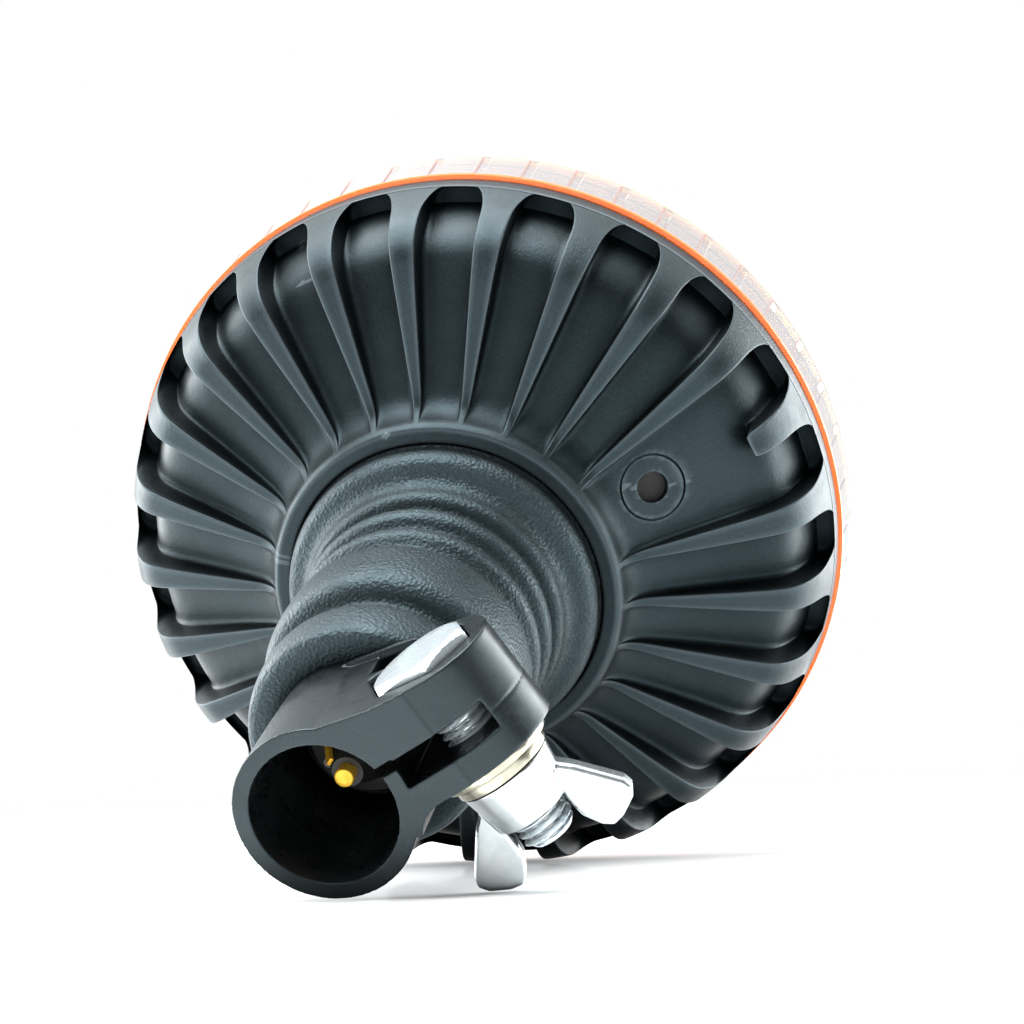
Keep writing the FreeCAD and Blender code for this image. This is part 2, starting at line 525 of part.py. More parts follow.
# ---------------------------------------------------------------- light engine
plate = cyl(PLATE_R, PLATE_Z0, PLATE_Z1)
for k in range(4):
    p = polar(59.0, 45 + 90 * k)
    plate = plate.cut(cyl(1.8, PLATE_Z0 - 1, PLATE_Z1 + 1, p.x, p.y))
plate = plate.cut(cyl(3.2, PLATE_Z0 - 1, PLATE_Z1 + 1, -CENTRES, 0))
for s in (-1, 1):
    plate = plate.cut(cyl(1.25, PLATE_Z0 - 1, PLATE_Z1 + 1, -CENTRES, 6.5 * s))
for a in (90, 210, 330):
    p = polar(12.5, a)
    plate = plate.cut(cyl(1.3, PLATE_Z0 - 1, PLATE_Z1 + 1, p.x, p.y))
plate = plate.cut(cyl(3.0, PLATE_Z0 - 1, PLATE_Z1 + 1, 0, 0))
for x, y in ((14, 20), (14, -20), (47, 20), (47, -20)):
    plate = plate.fuse(cyl(2.6, 119.62, PLATE_Z0 + 0.1, x, y)).cut(cyl(1.05, 117.0, PLATE_Z0 + 1.0, x, y))
for a in (0, 90, 180, 270):
    p = polar(62.8, a + 22)
    plate = plate.cut(cyl(2.2, PLATE_Z0 - 1, PLATE_Z1 + 1, p.x, p.y))
out("chassis_plate", plate)
out("chassis_screws", [pan_screw(polar(59.0, 45 + 90 * k).x, polar(59.0, 45 + 90 * k).y, PLATE_Z1, 1.22, 11.0, 2.9, 2.0) for k in range(4)])

post = rev([(0, PLATE_Z1), (15.4, PLATE_Z1), (15.4, 130.0), (JOURNAL_R, 130.0), (JOURNAL_R, 137.9), (9.3, 137.9), (9.3, 138.8), (JOURNAL_R, 138.8), (JOURNAL_R, 139.6), (0, 139.6)])
post = post.cut(cyl(2.0, PLATE_Z1 - 1, 141))
for a in (90, 210, 330):
    p = polar(12.5, a)
    post = post.cut(cyl(1.3, PLATE_Z1 - 1, 131, p.x, p.y)).cut(cyl(2.15, 129.1, 131, p.x, p.y))
out("led_post", post)
out("post_screws", [pan_screw(polar(12.5, a).x, polar(12.5, a).y, 129.1, 1.25, 4.0, 2.0, 0.8) for a in (90, 210, 330)])
out("rotor_clip", rev([(9.35, 138.0), (11.6, 138.0), (11.6, 138.7), (9.35, 138.7)], 330.0, 15.0))
board = cyl(9.4, 139.62, 140.6).cut(cyl(1.8, 139, 141))
out("led_board", board)
emit = []
for k in range(6):
    p = polar(5.4, 60 * k)
    b = box(p.x - 1.5, p.x + 1.5, p.y - 1.5, p.y + 1.5, 140.61, 141.2)
    dome = Part.makeSphere(1.15, V(p.x, p.y, 141.15), V(0, 0, 1), 0, 90, 360)
    emit.append(b.fuse(dome))
out("led_emitters", emit)


def involute_gear(m, n, z0, z1, thin, phase):
    pr, ar, dr = m * n / 2.0, m * n / 2.0 + m * 0.95, m * n / 2.0 - 1.25 * m
    al = math.radians(20)
    br = pr * math.cos(al)
    inv = math.tan(al) - al
    half = math.pi / (2 * n) - thin / (2 * pr) + inv
    pts = []
    for k in range(n):
        c = 2 * math.pi * k / n + phase
        side = []
        r = max(br, dr)
        while True:
            rr = min(r, ar)
            a = math.acos(min(1.0, br / rr))
            side.append((rr, half - (math.tan(a) - a)))
            if rr >= ar:
                break
            r += (ar - max(br, dr)) / 5.0
        row = [(dr, half + 0.02)] if br > dr else []
        row += side
        for rr, t in row:
            pts.append((rr * math.cos(c - t), rr * math.sin(c - t)))
        for rr, t in reversed(row):
            pts.append((rr * math.cos(c + t), rr * math.sin(c + t)))
    return prism_xy(pts, z0, z1)


gear = involute_gear(MODULE, GEAR_TEETH, GEAR_Z0, GEAR_Z1, 0.10, 0.0)
gear = gear.cut(cyl(19.0, GEAR_Z0 + 2.2, GEAR_Z1 + 1)).fuse(cyl(14.0, 130.35, 137.4))
gear = gear.cut(cyl(JOURNAL_R + RUN_GAP, 129, 140))
for k in range(6):
    p = polar(16.6, 60 * k + 30)
    gear = gear.cut(cyl(1.5, 129, 134, p.x, p.y))
for s in (-1, 1):
    gear = gear.fuse(cyl(2.2, GEAR_Z0 + 2.0, GEAR_Z1 + 0.4, 0, 16.6 * s)).cut(cyl(0.85, GEAR_Z0 + 1.0, GEAR_Z1 + 1, 0, 16.6 * s))
out("rotor_gear", gear.removeSplitter())

pin_gear = involute_gear(MODULE, PINION_TEETH, GEAR_Z0 - 0.4, GEAR_Z1 + 0.4, 0.10, math.pi / PINION_TEETH)
pin_gear.translate(V(-CENTRES, 0, 0))
pin_gear = pin_gear.fuse(cyl(3.6, GEAR_Z1 + 0.3, GEAR_Z1 + 2.4, -CENTRES, 0)).cut(cyl(1.0, 128, 142, -CENTRES, 0))
out("motor_pinion", pin_gear)
out("motor_shaft", cyl(1.0, 124.2, 138.0, -CENTRES, 0))
motor = cyl(11.0, 109.0, 124.98, -CENTRES, 0).fuse(cyl(3.1, 124.9, 126.4, -CENTRES, 0))
motor = motor.cut(cyl(1.05, 124.0, 127.0, -CENTRES, 0))
for s in (-1, 1):
    motor = motor.cut(cyl(0.95, 121.0, 126.0, -CENTRES, 6.5 * s))
motor = motor.cut(box(-CENTRES - 12, -CENTRES + 12, -12, -10.2, 108, 123)).cut(box(-CENTRES - 12, -CENTRES + 12, 10.2, 12, 108, 123))
out("motor_can", motor)
out("motor_screws", [pan_screw(-CENTRES, 6.5 * s, PLATE_Z1, 0.92, 6.2, 1.9, 1.3) for s in (-1, 1)])


# ---------------------------------------------------------------- reflector
def reflector():
    f, zc = 8.0, 142.0
    pts_o, pts_i = [], []
    rho = 0.0
    prof_in, prof_out = [], []
    n = 14
    for i in range(n + 1):
        rho = 24.5 * i / n
        prof_in.append((rho * rho / (4 * f) - f, rho))
        prof_out.append((rho * rho / (4 * f) - f - 1.5 / math.cos(math.atan(rho / (2 * f))), rho))
    vs = [V(x, 0, r) for x, r in prof_in]
    c1 = Part.BSplineCurve()
    c1.interpolate(vs)
    vo = [V(x, 0, r) for x, r in prof_out]
    c2 = Part.BSplineCurve()
    c2.interpolate(vo)
    w = Part.Wire([c1.toShape(), Part.makeLine(vs[-1], vo[-1]), c2.toShape(), Part.makeLine(vo[0], vs[0])])
    shell = Part.Face(w).revolve(V(0, 0, 0), V(1, 0, 0), 360)
    shell = shell.common(box(-40, 60, -60, 60, 0, 60))
    shell.translate(V(0, 0, zc))
    # side cheeks carry the shell down to the foot ring
    foot = cyl(20.4, GEAR_Z1 + 0.42, GEAR_Z1 + 1.6).cut(cyl(14.6, 130, 140))
    bowl = Part.Face(Part.Wire([c1.toShape(), Part.makeLine(vs[-1], V(60, 0, 24.5)), Part.makeLine(V(60, 0, 24.5), V(60, 0, 0)), Part.makeLine(V(60, 0, 0), vs[0])])).revolve(V(0, 0, 0), V(1, 0, 0), 360)
    bowl.translate(V(0, 0, zc))
    posts = []
    for s in (-1, 1):
        posts.append(box(-3.0, 4.5, s * 15.4 if s > 0 else -20.2, 20.2 if s > 0 else -15.4, GEAR_Z1 + 1.5, zc + 4.0).cut(bowl))
    r = shell.fuse([foot] + posts)
    for s in (-1, 1):
        r = r.cut(cyl(1.1, 130, 139.0, 0, 16.6 * s))
    for s in (-1, 1):
        r = r.cut(cyl(1.75, GEAR_Z1 + 1.6, 142.6, 0, 16.6 * s))
    # room for the LED board and clip
    r = r.cut(cyl(12.6, 130, 141.95))
    return r


REF = reflector()
out("reflector", REF)
out("reflector_screws", [pan_screw(0, 16.6 * s, GEAR_Z1 + 1.6, 0.83, 4.0, 1.6, 1.1) for s in (-1, 1)])

# ---------------------------------------------------------------- driver board
pcb = box(10, 51, -24, 24, 118.0, 119.6)
for x, y in ((14, 20), (14, -20), (47, 20), (47, -20)):
    pcb = pcb.cut(cyl(1.2, 117, 121, x, y))
for y in (5.0, -5.0):
    pcb = pcb.cut(cyl(1.15, 117, 121, 17.0, y))
out("driver_board", pcb)
comps = [
    cyl(4.0, 119.62, 124.6, 24, 13).fuse(cyl(3.6, 119.62, 124.9, 24, 13)),
    box(31, 39, -12, -3, 119.62, 123.4),
    box(22, 29, -16, -11, 119.62, 121.2),
    box(36, 43, 7, 14, 119.62, 121.6),
    box(28, 33, 0, 4, 119.62, 120.6),
    box(13.0, 21.0, -8.6, 8.6, 114.9, 117.98).fuse([cyl(1.9, 114.6, 115.0, 17.0, 5.0), cyl(1.9, 114.6, 115.0, 17.0, -5.0)]),
    box(36, 42, -19, -14, 119.62, 120.9),
]
out("driver_components", comps)
bs = []
for x, y in ((14, 20), (14, -20), (47, 20), (47, -20)):
    s = cyl(1.02, 117.9, 123.0, x, y).fuse(cyl(1.9, 116.6, 117.98, x, y))
    bs.append(s)
out("board_screws", bs)
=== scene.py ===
import bpy
import bmesh
import math
import json
import numpy as np
from mathutils import Vector, Matrix


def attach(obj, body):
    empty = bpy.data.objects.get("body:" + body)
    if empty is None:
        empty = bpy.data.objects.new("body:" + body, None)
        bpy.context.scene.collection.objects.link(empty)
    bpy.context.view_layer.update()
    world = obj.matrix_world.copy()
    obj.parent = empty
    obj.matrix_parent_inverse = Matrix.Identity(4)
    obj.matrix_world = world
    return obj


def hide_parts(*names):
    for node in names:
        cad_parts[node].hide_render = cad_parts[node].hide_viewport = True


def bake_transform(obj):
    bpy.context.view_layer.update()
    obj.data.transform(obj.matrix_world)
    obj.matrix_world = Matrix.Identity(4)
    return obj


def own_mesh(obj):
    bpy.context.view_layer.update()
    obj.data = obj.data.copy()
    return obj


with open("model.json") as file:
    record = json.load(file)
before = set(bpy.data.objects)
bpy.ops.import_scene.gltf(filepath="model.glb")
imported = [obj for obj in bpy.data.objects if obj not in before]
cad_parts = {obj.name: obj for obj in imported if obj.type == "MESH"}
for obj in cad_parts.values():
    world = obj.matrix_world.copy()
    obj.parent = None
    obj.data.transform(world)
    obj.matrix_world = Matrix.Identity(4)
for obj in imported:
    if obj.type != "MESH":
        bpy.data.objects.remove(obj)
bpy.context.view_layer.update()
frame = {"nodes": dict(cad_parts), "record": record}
SCENE = bpy.context.scene
NODES = frame["nodes"]
MM = 0.001

# ---------------------------------------------------------------- camera
RIGHT = Vector((0.78361535, 0.59388659, 0.18233403)).normalized()
UP = Vector((0.51267221, -0.78395066, 0.35012649)).normalized()
BACK = RIGHT.cross(UP).normalized()
cam_data = bpy.data.cameras.new("camera")
cam_data.sensor_width = 36.0
cam_data.lens = 70.3125
cam_data.clip_start, cam_data.clip_end = 0.01, 20.0
cam = bpy.data.objects.new("camera", cam_data)
SCENE.collection.objects.link(cam)
cam.matrix_world = Matrix((
    (RIGHT.x, UP.x, BACK.x, 0.16138), (RIGHT.y, UP.y, BACK.y, -0.07831),
    (RIGHT.z, UP.z, BACK.z, -0.27237), (0, 0, 0, 1)))
SCENE.camera = cam


# ---------------------------------------------------------------- node helpers
class Graph:
    def __init__(self, name):
        self.m = bpy.data.materials.new(name)
        self.m.use_nodes = True
        self.t = self.m.node_tree
        self.t.nodes.clear()
        self.out = self.t.nodes.new("ShaderNodeOutputMaterial")
        self.bsdf = self.t.nodes.new("ShaderNodeBsdfPrincipled")
        self.link(self.bsdf.outputs[0], self.out.inputs["Surface"])
        self.coord = self.t.nodes.new("ShaderNodeTexCoord").outputs["Object"]

    def link(self, a, b):
        self.t.links.new(a, b)

    def mapped(self, scale=(1, 1, 1), rot=(0, 0, 0)):
        n = self.t.nodes.new("ShaderNodeMapping")
        n.inputs["Scale"].default_value = scale
        n.inputs["Rotation"].default_value = rot
        self.link(self.coord, n.inputs["Vector"])
        return n.outputs[0]

    def noise(self, scale, detail=3.0, rough=0.55, vec=None, distort=0.0):
        n = self.t.nodes.new("ShaderNodeTexNoise")
        n.inputs["Scale"].default_value = scale
        n.inputs["Detail"].default_value = detail
        n.inputs["Roughness"].default_value = rough
        n.inputs["Distortion"].default_value = distort
        self.link(vec or self.coord, n.inputs["Vector"])
        return n.outputs["Fac"]

    def voronoi(self, scale, feature="F1", vec=None):
        n = self.t.nodes.new("ShaderNodeTexVoronoi")
        n.feature = feature
        n.inputs["Scale"].default_value = scale
        self.link(vec or self.coord, n.inputs["Vector"])
        return n.outputs["Distance"]

    def ramp(self, value, lo, hi, a=0.0, b=1.0):
        n = self.t.nodes.new("ShaderNodeMapRange")
        n.inputs["From Min"].default_value = lo
        n.inputs["From Max"].default_value = hi
        n.inputs["To Min"].default_value = a
        n.inputs["To Max"].default_value = b
        self.link(value, n.inputs["Value"])
        return n.outputs[0]

    def mix(self, fac, a, b):
        n = self.t.nodes.new("ShaderNodeMix")
        n.data_type = "RGBA"
        for sock, v in ((n.inputs[6], a), (n.inputs[7], b)):
            if isinstance(v, (tuple, list)):
                sock.default_value = (*v, 1.0) if len(v) == 3 else v
            else:
                self.link(v, sock)
        if isinstance(fac, float):
            n.inputs[0].default_value = fac
        else:
            self.link(fac, n.inputs[0])
        return n.outputs[2]

    def math(self, op, a, b=None):
        n = self.t.nodes.new("ShaderNodeMath")
        n.operation = op
        for i, v in enumerate((a, b)):
            if v is None:
                continue
            if isinstance(v, (int, float)):
                n.inputs[i].default_value = v
            else:
                self.link(v, n.inputs[i])
        return n.outputs[0]

    def bump(self, height, strength=0.2, distance=0.0001, normal=None):
        n = self.t.nodes.new("ShaderNodeBump")
        n.inputs["Strength"].default_value = strength
        n.inputs["Distance"].default_value = distance
        self.link(height, n.inputs["Height"])
        if normal is not None:
            self.link(normal, n.inputs["Normal"])
        return n.outputs[0]

    def pointy(self, lo, hi):
        n = self.t.nodes.new("ShaderNodeNewGeometry")
        return self.ramp(n.outputs["Pointiness"], lo, hi)

    # painted shade: an ambient-occlusion mask, low in hollows and creases, used to darken colour and specular
    # reflection there
    def cavity(self, distance, lo=0.35, hi=0.92, a=0.12, b=1.0):
        n = self.t.nodes.new("ShaderNodeAmbientOcclusion")
        n.samples = 6
        n.inputs["Distance"].default_value = distance
        return self.ramp(n.outputs["AO"], lo, hi, a, b)

    def xyz(self):
        n = self.t.nodes.new("ShaderNodeSeparateXYZ")
        self.link(self.coord, n.inputs[0])
        return n.outputs

    def set(self, **kw):
        for k, v in kw.items():
            k = k.replace("_", " ")
            s = self.bsdf.inputs[k]
            if isinstance(v, bpy.types.NodeSocket):
                self.link(v, s)
            elif isinstance(v, (tuple, list)) and len(v) == 3 and s.type == "RGBA":
                s.default_value = (*v, 1.0)
            else:
                s.default_value = v
        return self


def moulded(name, dark, light, rough, grain=2600.0, strength=0.25, dist=0.00006, spec=0.5, edge=None, patch=60.0, tint=None, deep=None):
    """Moulded black plastic: slow tone drift and spark-eroded grain; where an edge colour is given, a painted highlight
    along convex edges; where a reach is given, painted shade in hollows.
    """
    g = Graph(name)
    drift = g.noise(patch, 4.0, 0.6)
    speck = g.noise(grain, 3.0, 0.7)
    col = g.mix(g.ramp(drift, 0.3, 0.7), dark, light)
    col = g.mix(g.ramp(speck, 0.50, 0.72, 0.0, 0.75), col, tuple(c * 2.6 for c in light))
    # painted highlight: convex edges, found by pointiness, take the lighter edge colour
    if edge:
        col = g.mix(g.pointy(0.505, 0.56), col, edge)
    r = g.ramp(g.noise(patch * 3, 3.0), 0.3, 0.7, rough - 0.06, rough + 0.06)
    n1 = g.bump(speck, strength, dist)
    n2 = g.bump(g.noise(grain * 0.33, 2.0), strength * 0.5, dist * 1.6, n1)
    # painted shade: hollows within the reach are darkened towards a quarter of the dark tone, and their specular level
    # is cut in step
    if deep:
        c = g.cavity(deep)
        col = g.mix(c, tuple(v * 0.25 for v in dark), col)
        g.set(Specular_IOR_Level=g.math("MULTIPLY", c, spec))
    else:
        g.set(Specular_IOR_Level=spec)
    g.set(Base_Color=col, Roughness=r, Normal=n2)
    if tint:
        g.set(Specular_Tint=tint)
    return g.m


def metal(name, a, b, rough, patch=350.0, strength=0.12, dist=0.00005, streak=(1, 1, 1), rvar=0.10, metallic=1.0, deep=None):
    """Bright or dull metal with fine scratches, pickled patches and uneven gloss; where a reach is given, painted shade
    in hollows.
    """
    g = Graph(name)
    v = g.mapped(streak)
    cloud = g.noise(patch, 5.0, 0.65, v, 0.4)
    fine = g.noise(patch * 9, 3.0, 0.6, v)
    col = g.mix(g.ramp(cloud, 0.32, 0.68), a, b)
    r = g.ramp(cloud, 0.3, 0.7, max(0.04, rough - rvar), rough + rvar)
    n1 = g.bump(fine, strength, dist)
    n2 = g.bump(cloud, strength * 0.7, dist * 2.5, n1)
    # painted shade: hollows within the reach are darkened towards a tenth of the darker tone
    if deep:
        col = g.mix(g.cavity(deep, 0.30, 0.80, 0.0, 1.0), tuple(v * 0.10 for v in b), col)
    g.set(Base_Color=col, Metallic=metallic, Roughness=r, Normal=n2)
    return g.m


# ---------------------------------------------------------------- materials
M = {}
# housing_black: painted edge highlight colour (0.085, 0.104, 0.114) and painted shade in hollows within 16 mm;
# socket_black: painted shade in hollows within 12 mm
M["housing_black"] = moulded("housing_black", (0.0035, 0.0052, 0.0060), (0.0075, 0.0100, 0.0112), 0.40, 1900.0, 0.55, 0.00011,
                             0.5, (0.085, 0.104, 0.114), 60.0, (0.60, 0.88, 1.0), 0.016)
M["socket_black"] = moulded("socket_black", (0.0042, 0.0054, 0.0060), (0.0072, 0.0088, 0.0095), 0.30, 4200.0, 0.16, 0.00003,
                            0.5, None, 90.0, (0.70, 0.91, 1.0), 0.012)
M["holder_black"] = moulded("holder_black", (0.012, 0.012, 0.012), (0.022, 0.021, 0.020), 0.42, 4200.0, 0.2, 0.00004)
M["seal_rubber"] = moulded("seal_rubber", (0.018, 0.018, 0.018), (0.03, 0.03, 0.03), 0.7, 3200.0, 0.3, 0.00006)


def rubber(name):
    g = Graph(name)
    grain = g.voronoi(1750.0, "SMOOTH_F1")
    fine = g.noise(2600.0, 3.0, 0.7)
    wide = g.noise(70.0, 4.0, 0.6)
    col = g.mix(g.ramp(wide, 0.3, 0.7), (0.0040, 0.0055, 0.0062), (0.0085, 0.0105, 0.0115))
    col = g.mix(g.ramp(grain, 0.05, 0.5, 0.55, 0.0), col, (0.018, 0.022, 0.024))
    col = g.mix(g.ramp(fine, 0.50, 0.72, 0.0, 0.7), col, (0.045, 0.053, 0.057))
    r = g.ramp(g.noise(260.0, 3.0), 0.3, 0.7, 0.40, 0.54)
    n1 = g.bump(grain, 0.9, 0.00023)
    n2 = g.bump(fine, 0.5, 0.00009, n1)
    # painted shade: creases and hollows within 6.5 mm are darkened almost to black and lose most of their specular
    # level
    c = g.cavity(0.0065, 0.50, 0.97, 0.05, 1.0)
    col = g.mix(c, (0.0010, 0.0014, 0.0016), col)
    g.set(Base_Color=col, Roughness=r, Normal=n2, Specular_IOR_Level=g.math("MULTIPLY", c, 0.62), Specular_Tint=(0.58, 0.88, 1.0))
    return g.m


M["boot_rubber"] = rubber("boot_rubber")
# the last argument of zinc, zinc_cast and zinc_yellow sets the reach of painted shade in hollows
M["zinc"] = metal("zinc", (0.90, 0.95, 0.97), (0.60, 0.69, 0.74), 0.22, 300.0, 0.07, 0.00004, (1, 1, 1), 0.08, 0.66, 0.0011)
M["zinc_cast"] = metal("zinc_cast", (0.84, 0.88, 0.89), (0.60, 0.66, 0.68), 0.20, 200.0, 0.25, 0.00010, (1, 1, 1), 0.08, 0.90, 0.0035)
M["zinc_yellow"] = metal("zinc_yellow", (0.58, 0.56, 0.46), (0.38, 0.37, 0.29), 0.20, 420.0, 0.2, 0.00005, (1, 1, 1), 0.08, 0.95, 0.0016)
M["brass"] = metal("brass", (1.0, 0.62, 0.06), (0.95, 0.50, 0.03), 0.32, 700.0, 0.10, 0.00003, (1, 1, 1), 0.08, 0.45)
M["steel"] = metal("steel", (0.60, 0.60, 0.60), (0.45, 0.45, 0.46), 0.30, 900.0, 0.15, 0.00004)
M["motor_metal"] = metal("motor_metal", (0.55, 0.56, 0.57), (0.42, 0.43, 0.44), 0.34, 300.0, 0.15, 0.00004, (1, 1, 0.1))
M["heat_post"] = metal("heat_post", (0.80, 0.80, 0.80), (0.66, 0.66, 0.67), 0.35, 500.0, 0.2, 0.00005, (1, 1, 14))


FACET_RATE = 50 / (2 * math.pi)
FACET_SHIFT = 10.0 - 11.15 / 7.2


def amber(name):
    g = Graph(name)
    flow = g.noise(22.0, 3.0, 0.5)
    col = g.mix(g.ramp(flow, 0.3, 0.7), (1.0, 0.36, 0.030), (1.0, 0.42, 0.045))
    z = g.xyz()[2]
    # painted reflection: the lens band below z 140 mm is coloured pale grey-lilac instead of clear amber
    wall = g.mix(g.ramp(flow, 0.3, 0.7), (0.36, 0.34, 0.36), (0.46, 0.43, 0.45))
    x, y = g.xyz()[0], g.xyz()[1]
    turn = g.math("MULTIPLY", g.math("ARCTAN2", y, x), FACET_RATE)
    mark = g.math("FRACT", g.math("ADD", turn, FACET_SHIFT))
    # painted shade: darker lilac stripes every 1.95 mm up the lower band, in step with the prisms moulded inside the
    # wall
    prism = g.math("FRACT", g.math("MULTIPLY", z, 512.8))
    wall = g.mix(g.ramp(prism, 0.72, 0.86, 0.0, 0.55), wall, (0.24, 0.19, 0.26))
    # painted shade: thin reddish-brown lines along the facet edges of the lower band, which also pass less light
    line = g.ramp(g.math("ABSOLUTE", g.math("SUBTRACT", mark, 0.5)), 0.462, 0.478, 0.0, 1.0)
    wall = g.mix(line, wall, (0.26, 0.07, 0.03))
    band = g.ramp(z, 0.1400, 0.1406, 1.0, 0.0)
    shoulder = g.math("MULTIPLY", g.ramp(z, 0.1400, 0.1406), g.ramp(z, 0.1422, 0.1434, 1.0, 0.0))
    col = g.mix(shoulder, col, (0.95, 0.34, 0.02))
    col = g.mix(band, col, wall)
    # painted glow: below z 128.6 mm the flange is coloured deep orange, made nearly opaque and left without coat, in
    # place of light carried through the flange edge
    edge = g.ramp(z, 0.1286, 0.1292, 1.0, 0.0)
    col = g.mix(edge, col, (1.0, 0.16, 0.004))
    # transmission is cut where the painted reflection, the facet-edge shade and the shoulder band are
    less = g.math("ADD", g.math("MULTIPLY", band, 0.30), g.math("MULTIPLY", g.math("MULTIPLY", band, line), 0.55))
    less = g.math("ADD", less, g.math("MULTIPLY", shoulder, 0.55))
    clear = g.math("MAXIMUM", g.math("SUBTRACT", g.math("SUBTRACT", 1.0, less), g.math("MULTIPLY", edge, 0.88)), 0.05)
    r = g.ramp(g.noise(160.0, 3.0), 0.3, 0.7, 0.030, 0.075)
    n = g.bump(g.noise(120.0, 2.0), 0.10, 0.00010)
    g.set(Base_Color=col, Roughness=r, Normal=n, IOR=1.49, Transmission_Weight=clear, Coat_Weight=g.ramp(edge, 0.0, 1.0, 1.0, 0.0))
    g.bsdf.inputs["Coat Roughness"].default_value = 0.03
    g.bsdf.inputs["Coat IOR"].default_value = 1.6
    return g.m


M["amber"] = amber("amber")
M["chassis_grey"] = moulded("chassis_grey", (0.36, 0.37, 0.37), (0.46, 0.47, 0.47), 0.45, 2600.0, 0.2, 0.00004)
M["gear_white"] = moulded("gear_white", (0.70, 0.69, 0.65), (0.80, 0.79, 0.75), 0.38, 2600.0, 0.12, 0.00003)
M["board_white"] = moulded("board_white", (0.70, 0.71, 0.70), (0.80, 0.80, 0.79), 0.35, 2600.0, 0.12, 0.00002)
M["vent_dark"] = moulded("vent_dark", (0.012, 0.012, 0.012), (0.022, 0.022, 0.022), 0.8, 9000.0, 0.5, 0.00005)
M["electronics"] = moulded("electronics", (0.02, 0.02, 0.022), (0.035, 0.035, 0.038), 0.42, 4000.0, 0.2, 0.00003)
M["wire_red"] = moulded("wire_red", (0.42, 0.02, 0.015), (0.55, 0.03, 0.02), 0.42, 3000.0, 0.1, 0.00003)
M["wire_black"] = moulded("wire_black", (0.02, 0.02, 0.02), (0.03, 0.03, 0.03), 0.42, 3000.0, 0.1, 0.00003)


def board(name):
    g = Graph(name)
    weave = g.noise(900.0, 2.0)
    tracks = g.voronoi(190.0, "DISTANCE_TO_EDGE")
    col = g.mix(g.ramp(weave, 0.3, 0.7), (0.015, 0.12, 0.045), (0.025, 0.17, 0.06))
    col = g.mix(g.ramp(tracks, 0.02, 0.06, 0.7, 0.0), col, (0.05, 0.28, 0.10))
    g.set(Base_Color=col, Roughness=g.ramp(weave, 0.3, 0.7, 0.25, 0.4), Normal=g.bump(tracks, 0.2, 0.00003))
    return g.m


M["board_green"] = board("board_green")


def led(name):
    g = Graph(name)
    g.set(Base_Color=g.mix(g.ramp(g.noise(1500.0), 0.3, 0.7), (0.85, 0.66, 0.12), (0.95, 0.80, 0.30)), Roughness=0.18,
          Normal=g.bump(g.noise(2500.0), 0.1, 0.00002), Coat_Weight=0.6)
    return g.m


M["led_yellow"] = led("led_yellow")


def mirror(name):
    g = Graph(name)
    v = g.noise(60.0, 3.0)
    g.set(Base_Color=g.mix(g.ramp(v, 0.3, 0.7), (0.93, 0.93, 0.93), (0.86, 0.87, 0.88)), Metallic=1.0,
          Roughness=g.ramp(v, 0.3, 0.7, 0.06, 0.12), Normal=g.bump(g.noise(400.0), 0.05, 0.00003))
    return g.m


M["mirror"] = mirror("mirror")


# ---------------------------------------------------------------- mesh helpers
def make(name, verts, faces, mat, smooth=True, scale=MM):
    me = bpy.data.meshes.new(name)
    me.from_pydata([tuple(v) for v in (np.asarray(verts, float) * scale)], [], [tuple(f) for f in faces])
    me.validate()
    me.update()
    me.polygons.foreach_set("use_smooth", [smooth] * len(me.polygons))
    ob = bpy.data.objects.new(name, me)
    SCENE.collection.objects.link(ob)
    if mat is not None:
        me.materials.append(mat)
    return ob


def grid_faces(rows, cols, close_rows=False, close_cols=True, flip=False):
    i = np.arange(rows if close_rows else rows - 1)
    j = np.arange(cols if close_cols else cols - 1)
    I, J = np.meshgrid(i, j, indexing="ij")
    I2, J2 = (I + 1) % rows, (J + 1) % cols
    f = np.stack([I * cols + J, I * cols + J2, I2 * cols + J2, I2 * cols + J], -1).reshape(-1, 4)
    return f[:, ::-1] if flip else f


def spline(pts, n):
    """Natural cubic spline through points, n samples evenly along the chord."""
    p = np.asarray(pts, float)
    t = np.concatenate([[0], np.cumsum(np.linalg.norm(np.diff(p, axis=0), axis=1))])
    k = len(p)
    A = np.zeros((k, k))
    B = np.zeros((k, p.shape[1]))
    A[0, 0] = A[-1, -1] = 1.0
    for i in range(1, k - 1):
        h0, h1 = t[i] - t[i - 1], t[i + 1] - t[i]
        A[i, i - 1], A[i, i], A[i, i + 1] = h0, 2 * (h0 + h1), h1
        B[i] = 6 * ((p[i + 1] - p[i]) / h1 - (p[i] - p[i - 1]) / h0)
    m = np.linalg.solve(A, B)
    s = np.linspace(0, t[-1], n)
    i = np.clip(np.searchsorted(t, s, side="right") - 1, 0, k - 2)
    h = (t[i + 1] - t[i])[:, None]
    a = (t[i + 1] - s)[:, None]
    b = (s - t[i])[:, None]
    return (m[i] * a ** 3 + m[i + 1] * b ** 3) / (6 * h) + (p[i] / h - m[i] * h / 6) * a + (p[i + 1] / h - m[i + 1] * h / 6) * b


def smooth_by_angle(ob, deg=35.0):
    """Marks sharp edges by angle, so flat faces stay flat under smooth shading."""
    bm = bmesh.new()
    bm.from_mesh(ob.data)
    lim = math.radians(deg)
    for e in bm.edges:
        e.smooth = not (len(e.link_faces) == 2 and e.calc_face_angle(0.0) > lim)
    for f in bm.faces:
        f.smooth = True
    bm.to_mesh(ob.data)
    bm.free()
    return ob


def lathe(name, loop, mat, cols=96, a0=0.0, closed=True):
    """Closed solid of revolution about Z from a closed (r, z) loop, millimetres."""
    loop = np.asarray(loop, float)
    a = np.radians(a0) + np.arange(cols) * 2 * np.pi / cols
    r, z = loop[:, 0][:, None], loop[:, 1][:, None]
    v = np.stack([r * np.cos(a), r * np.sin(a), z + 0 * a], -1).reshape(-1, 3)
    ob = make(name, v, grid_faces(len(loop), cols, closed, True), mat)
    fix(ob)
    return ob


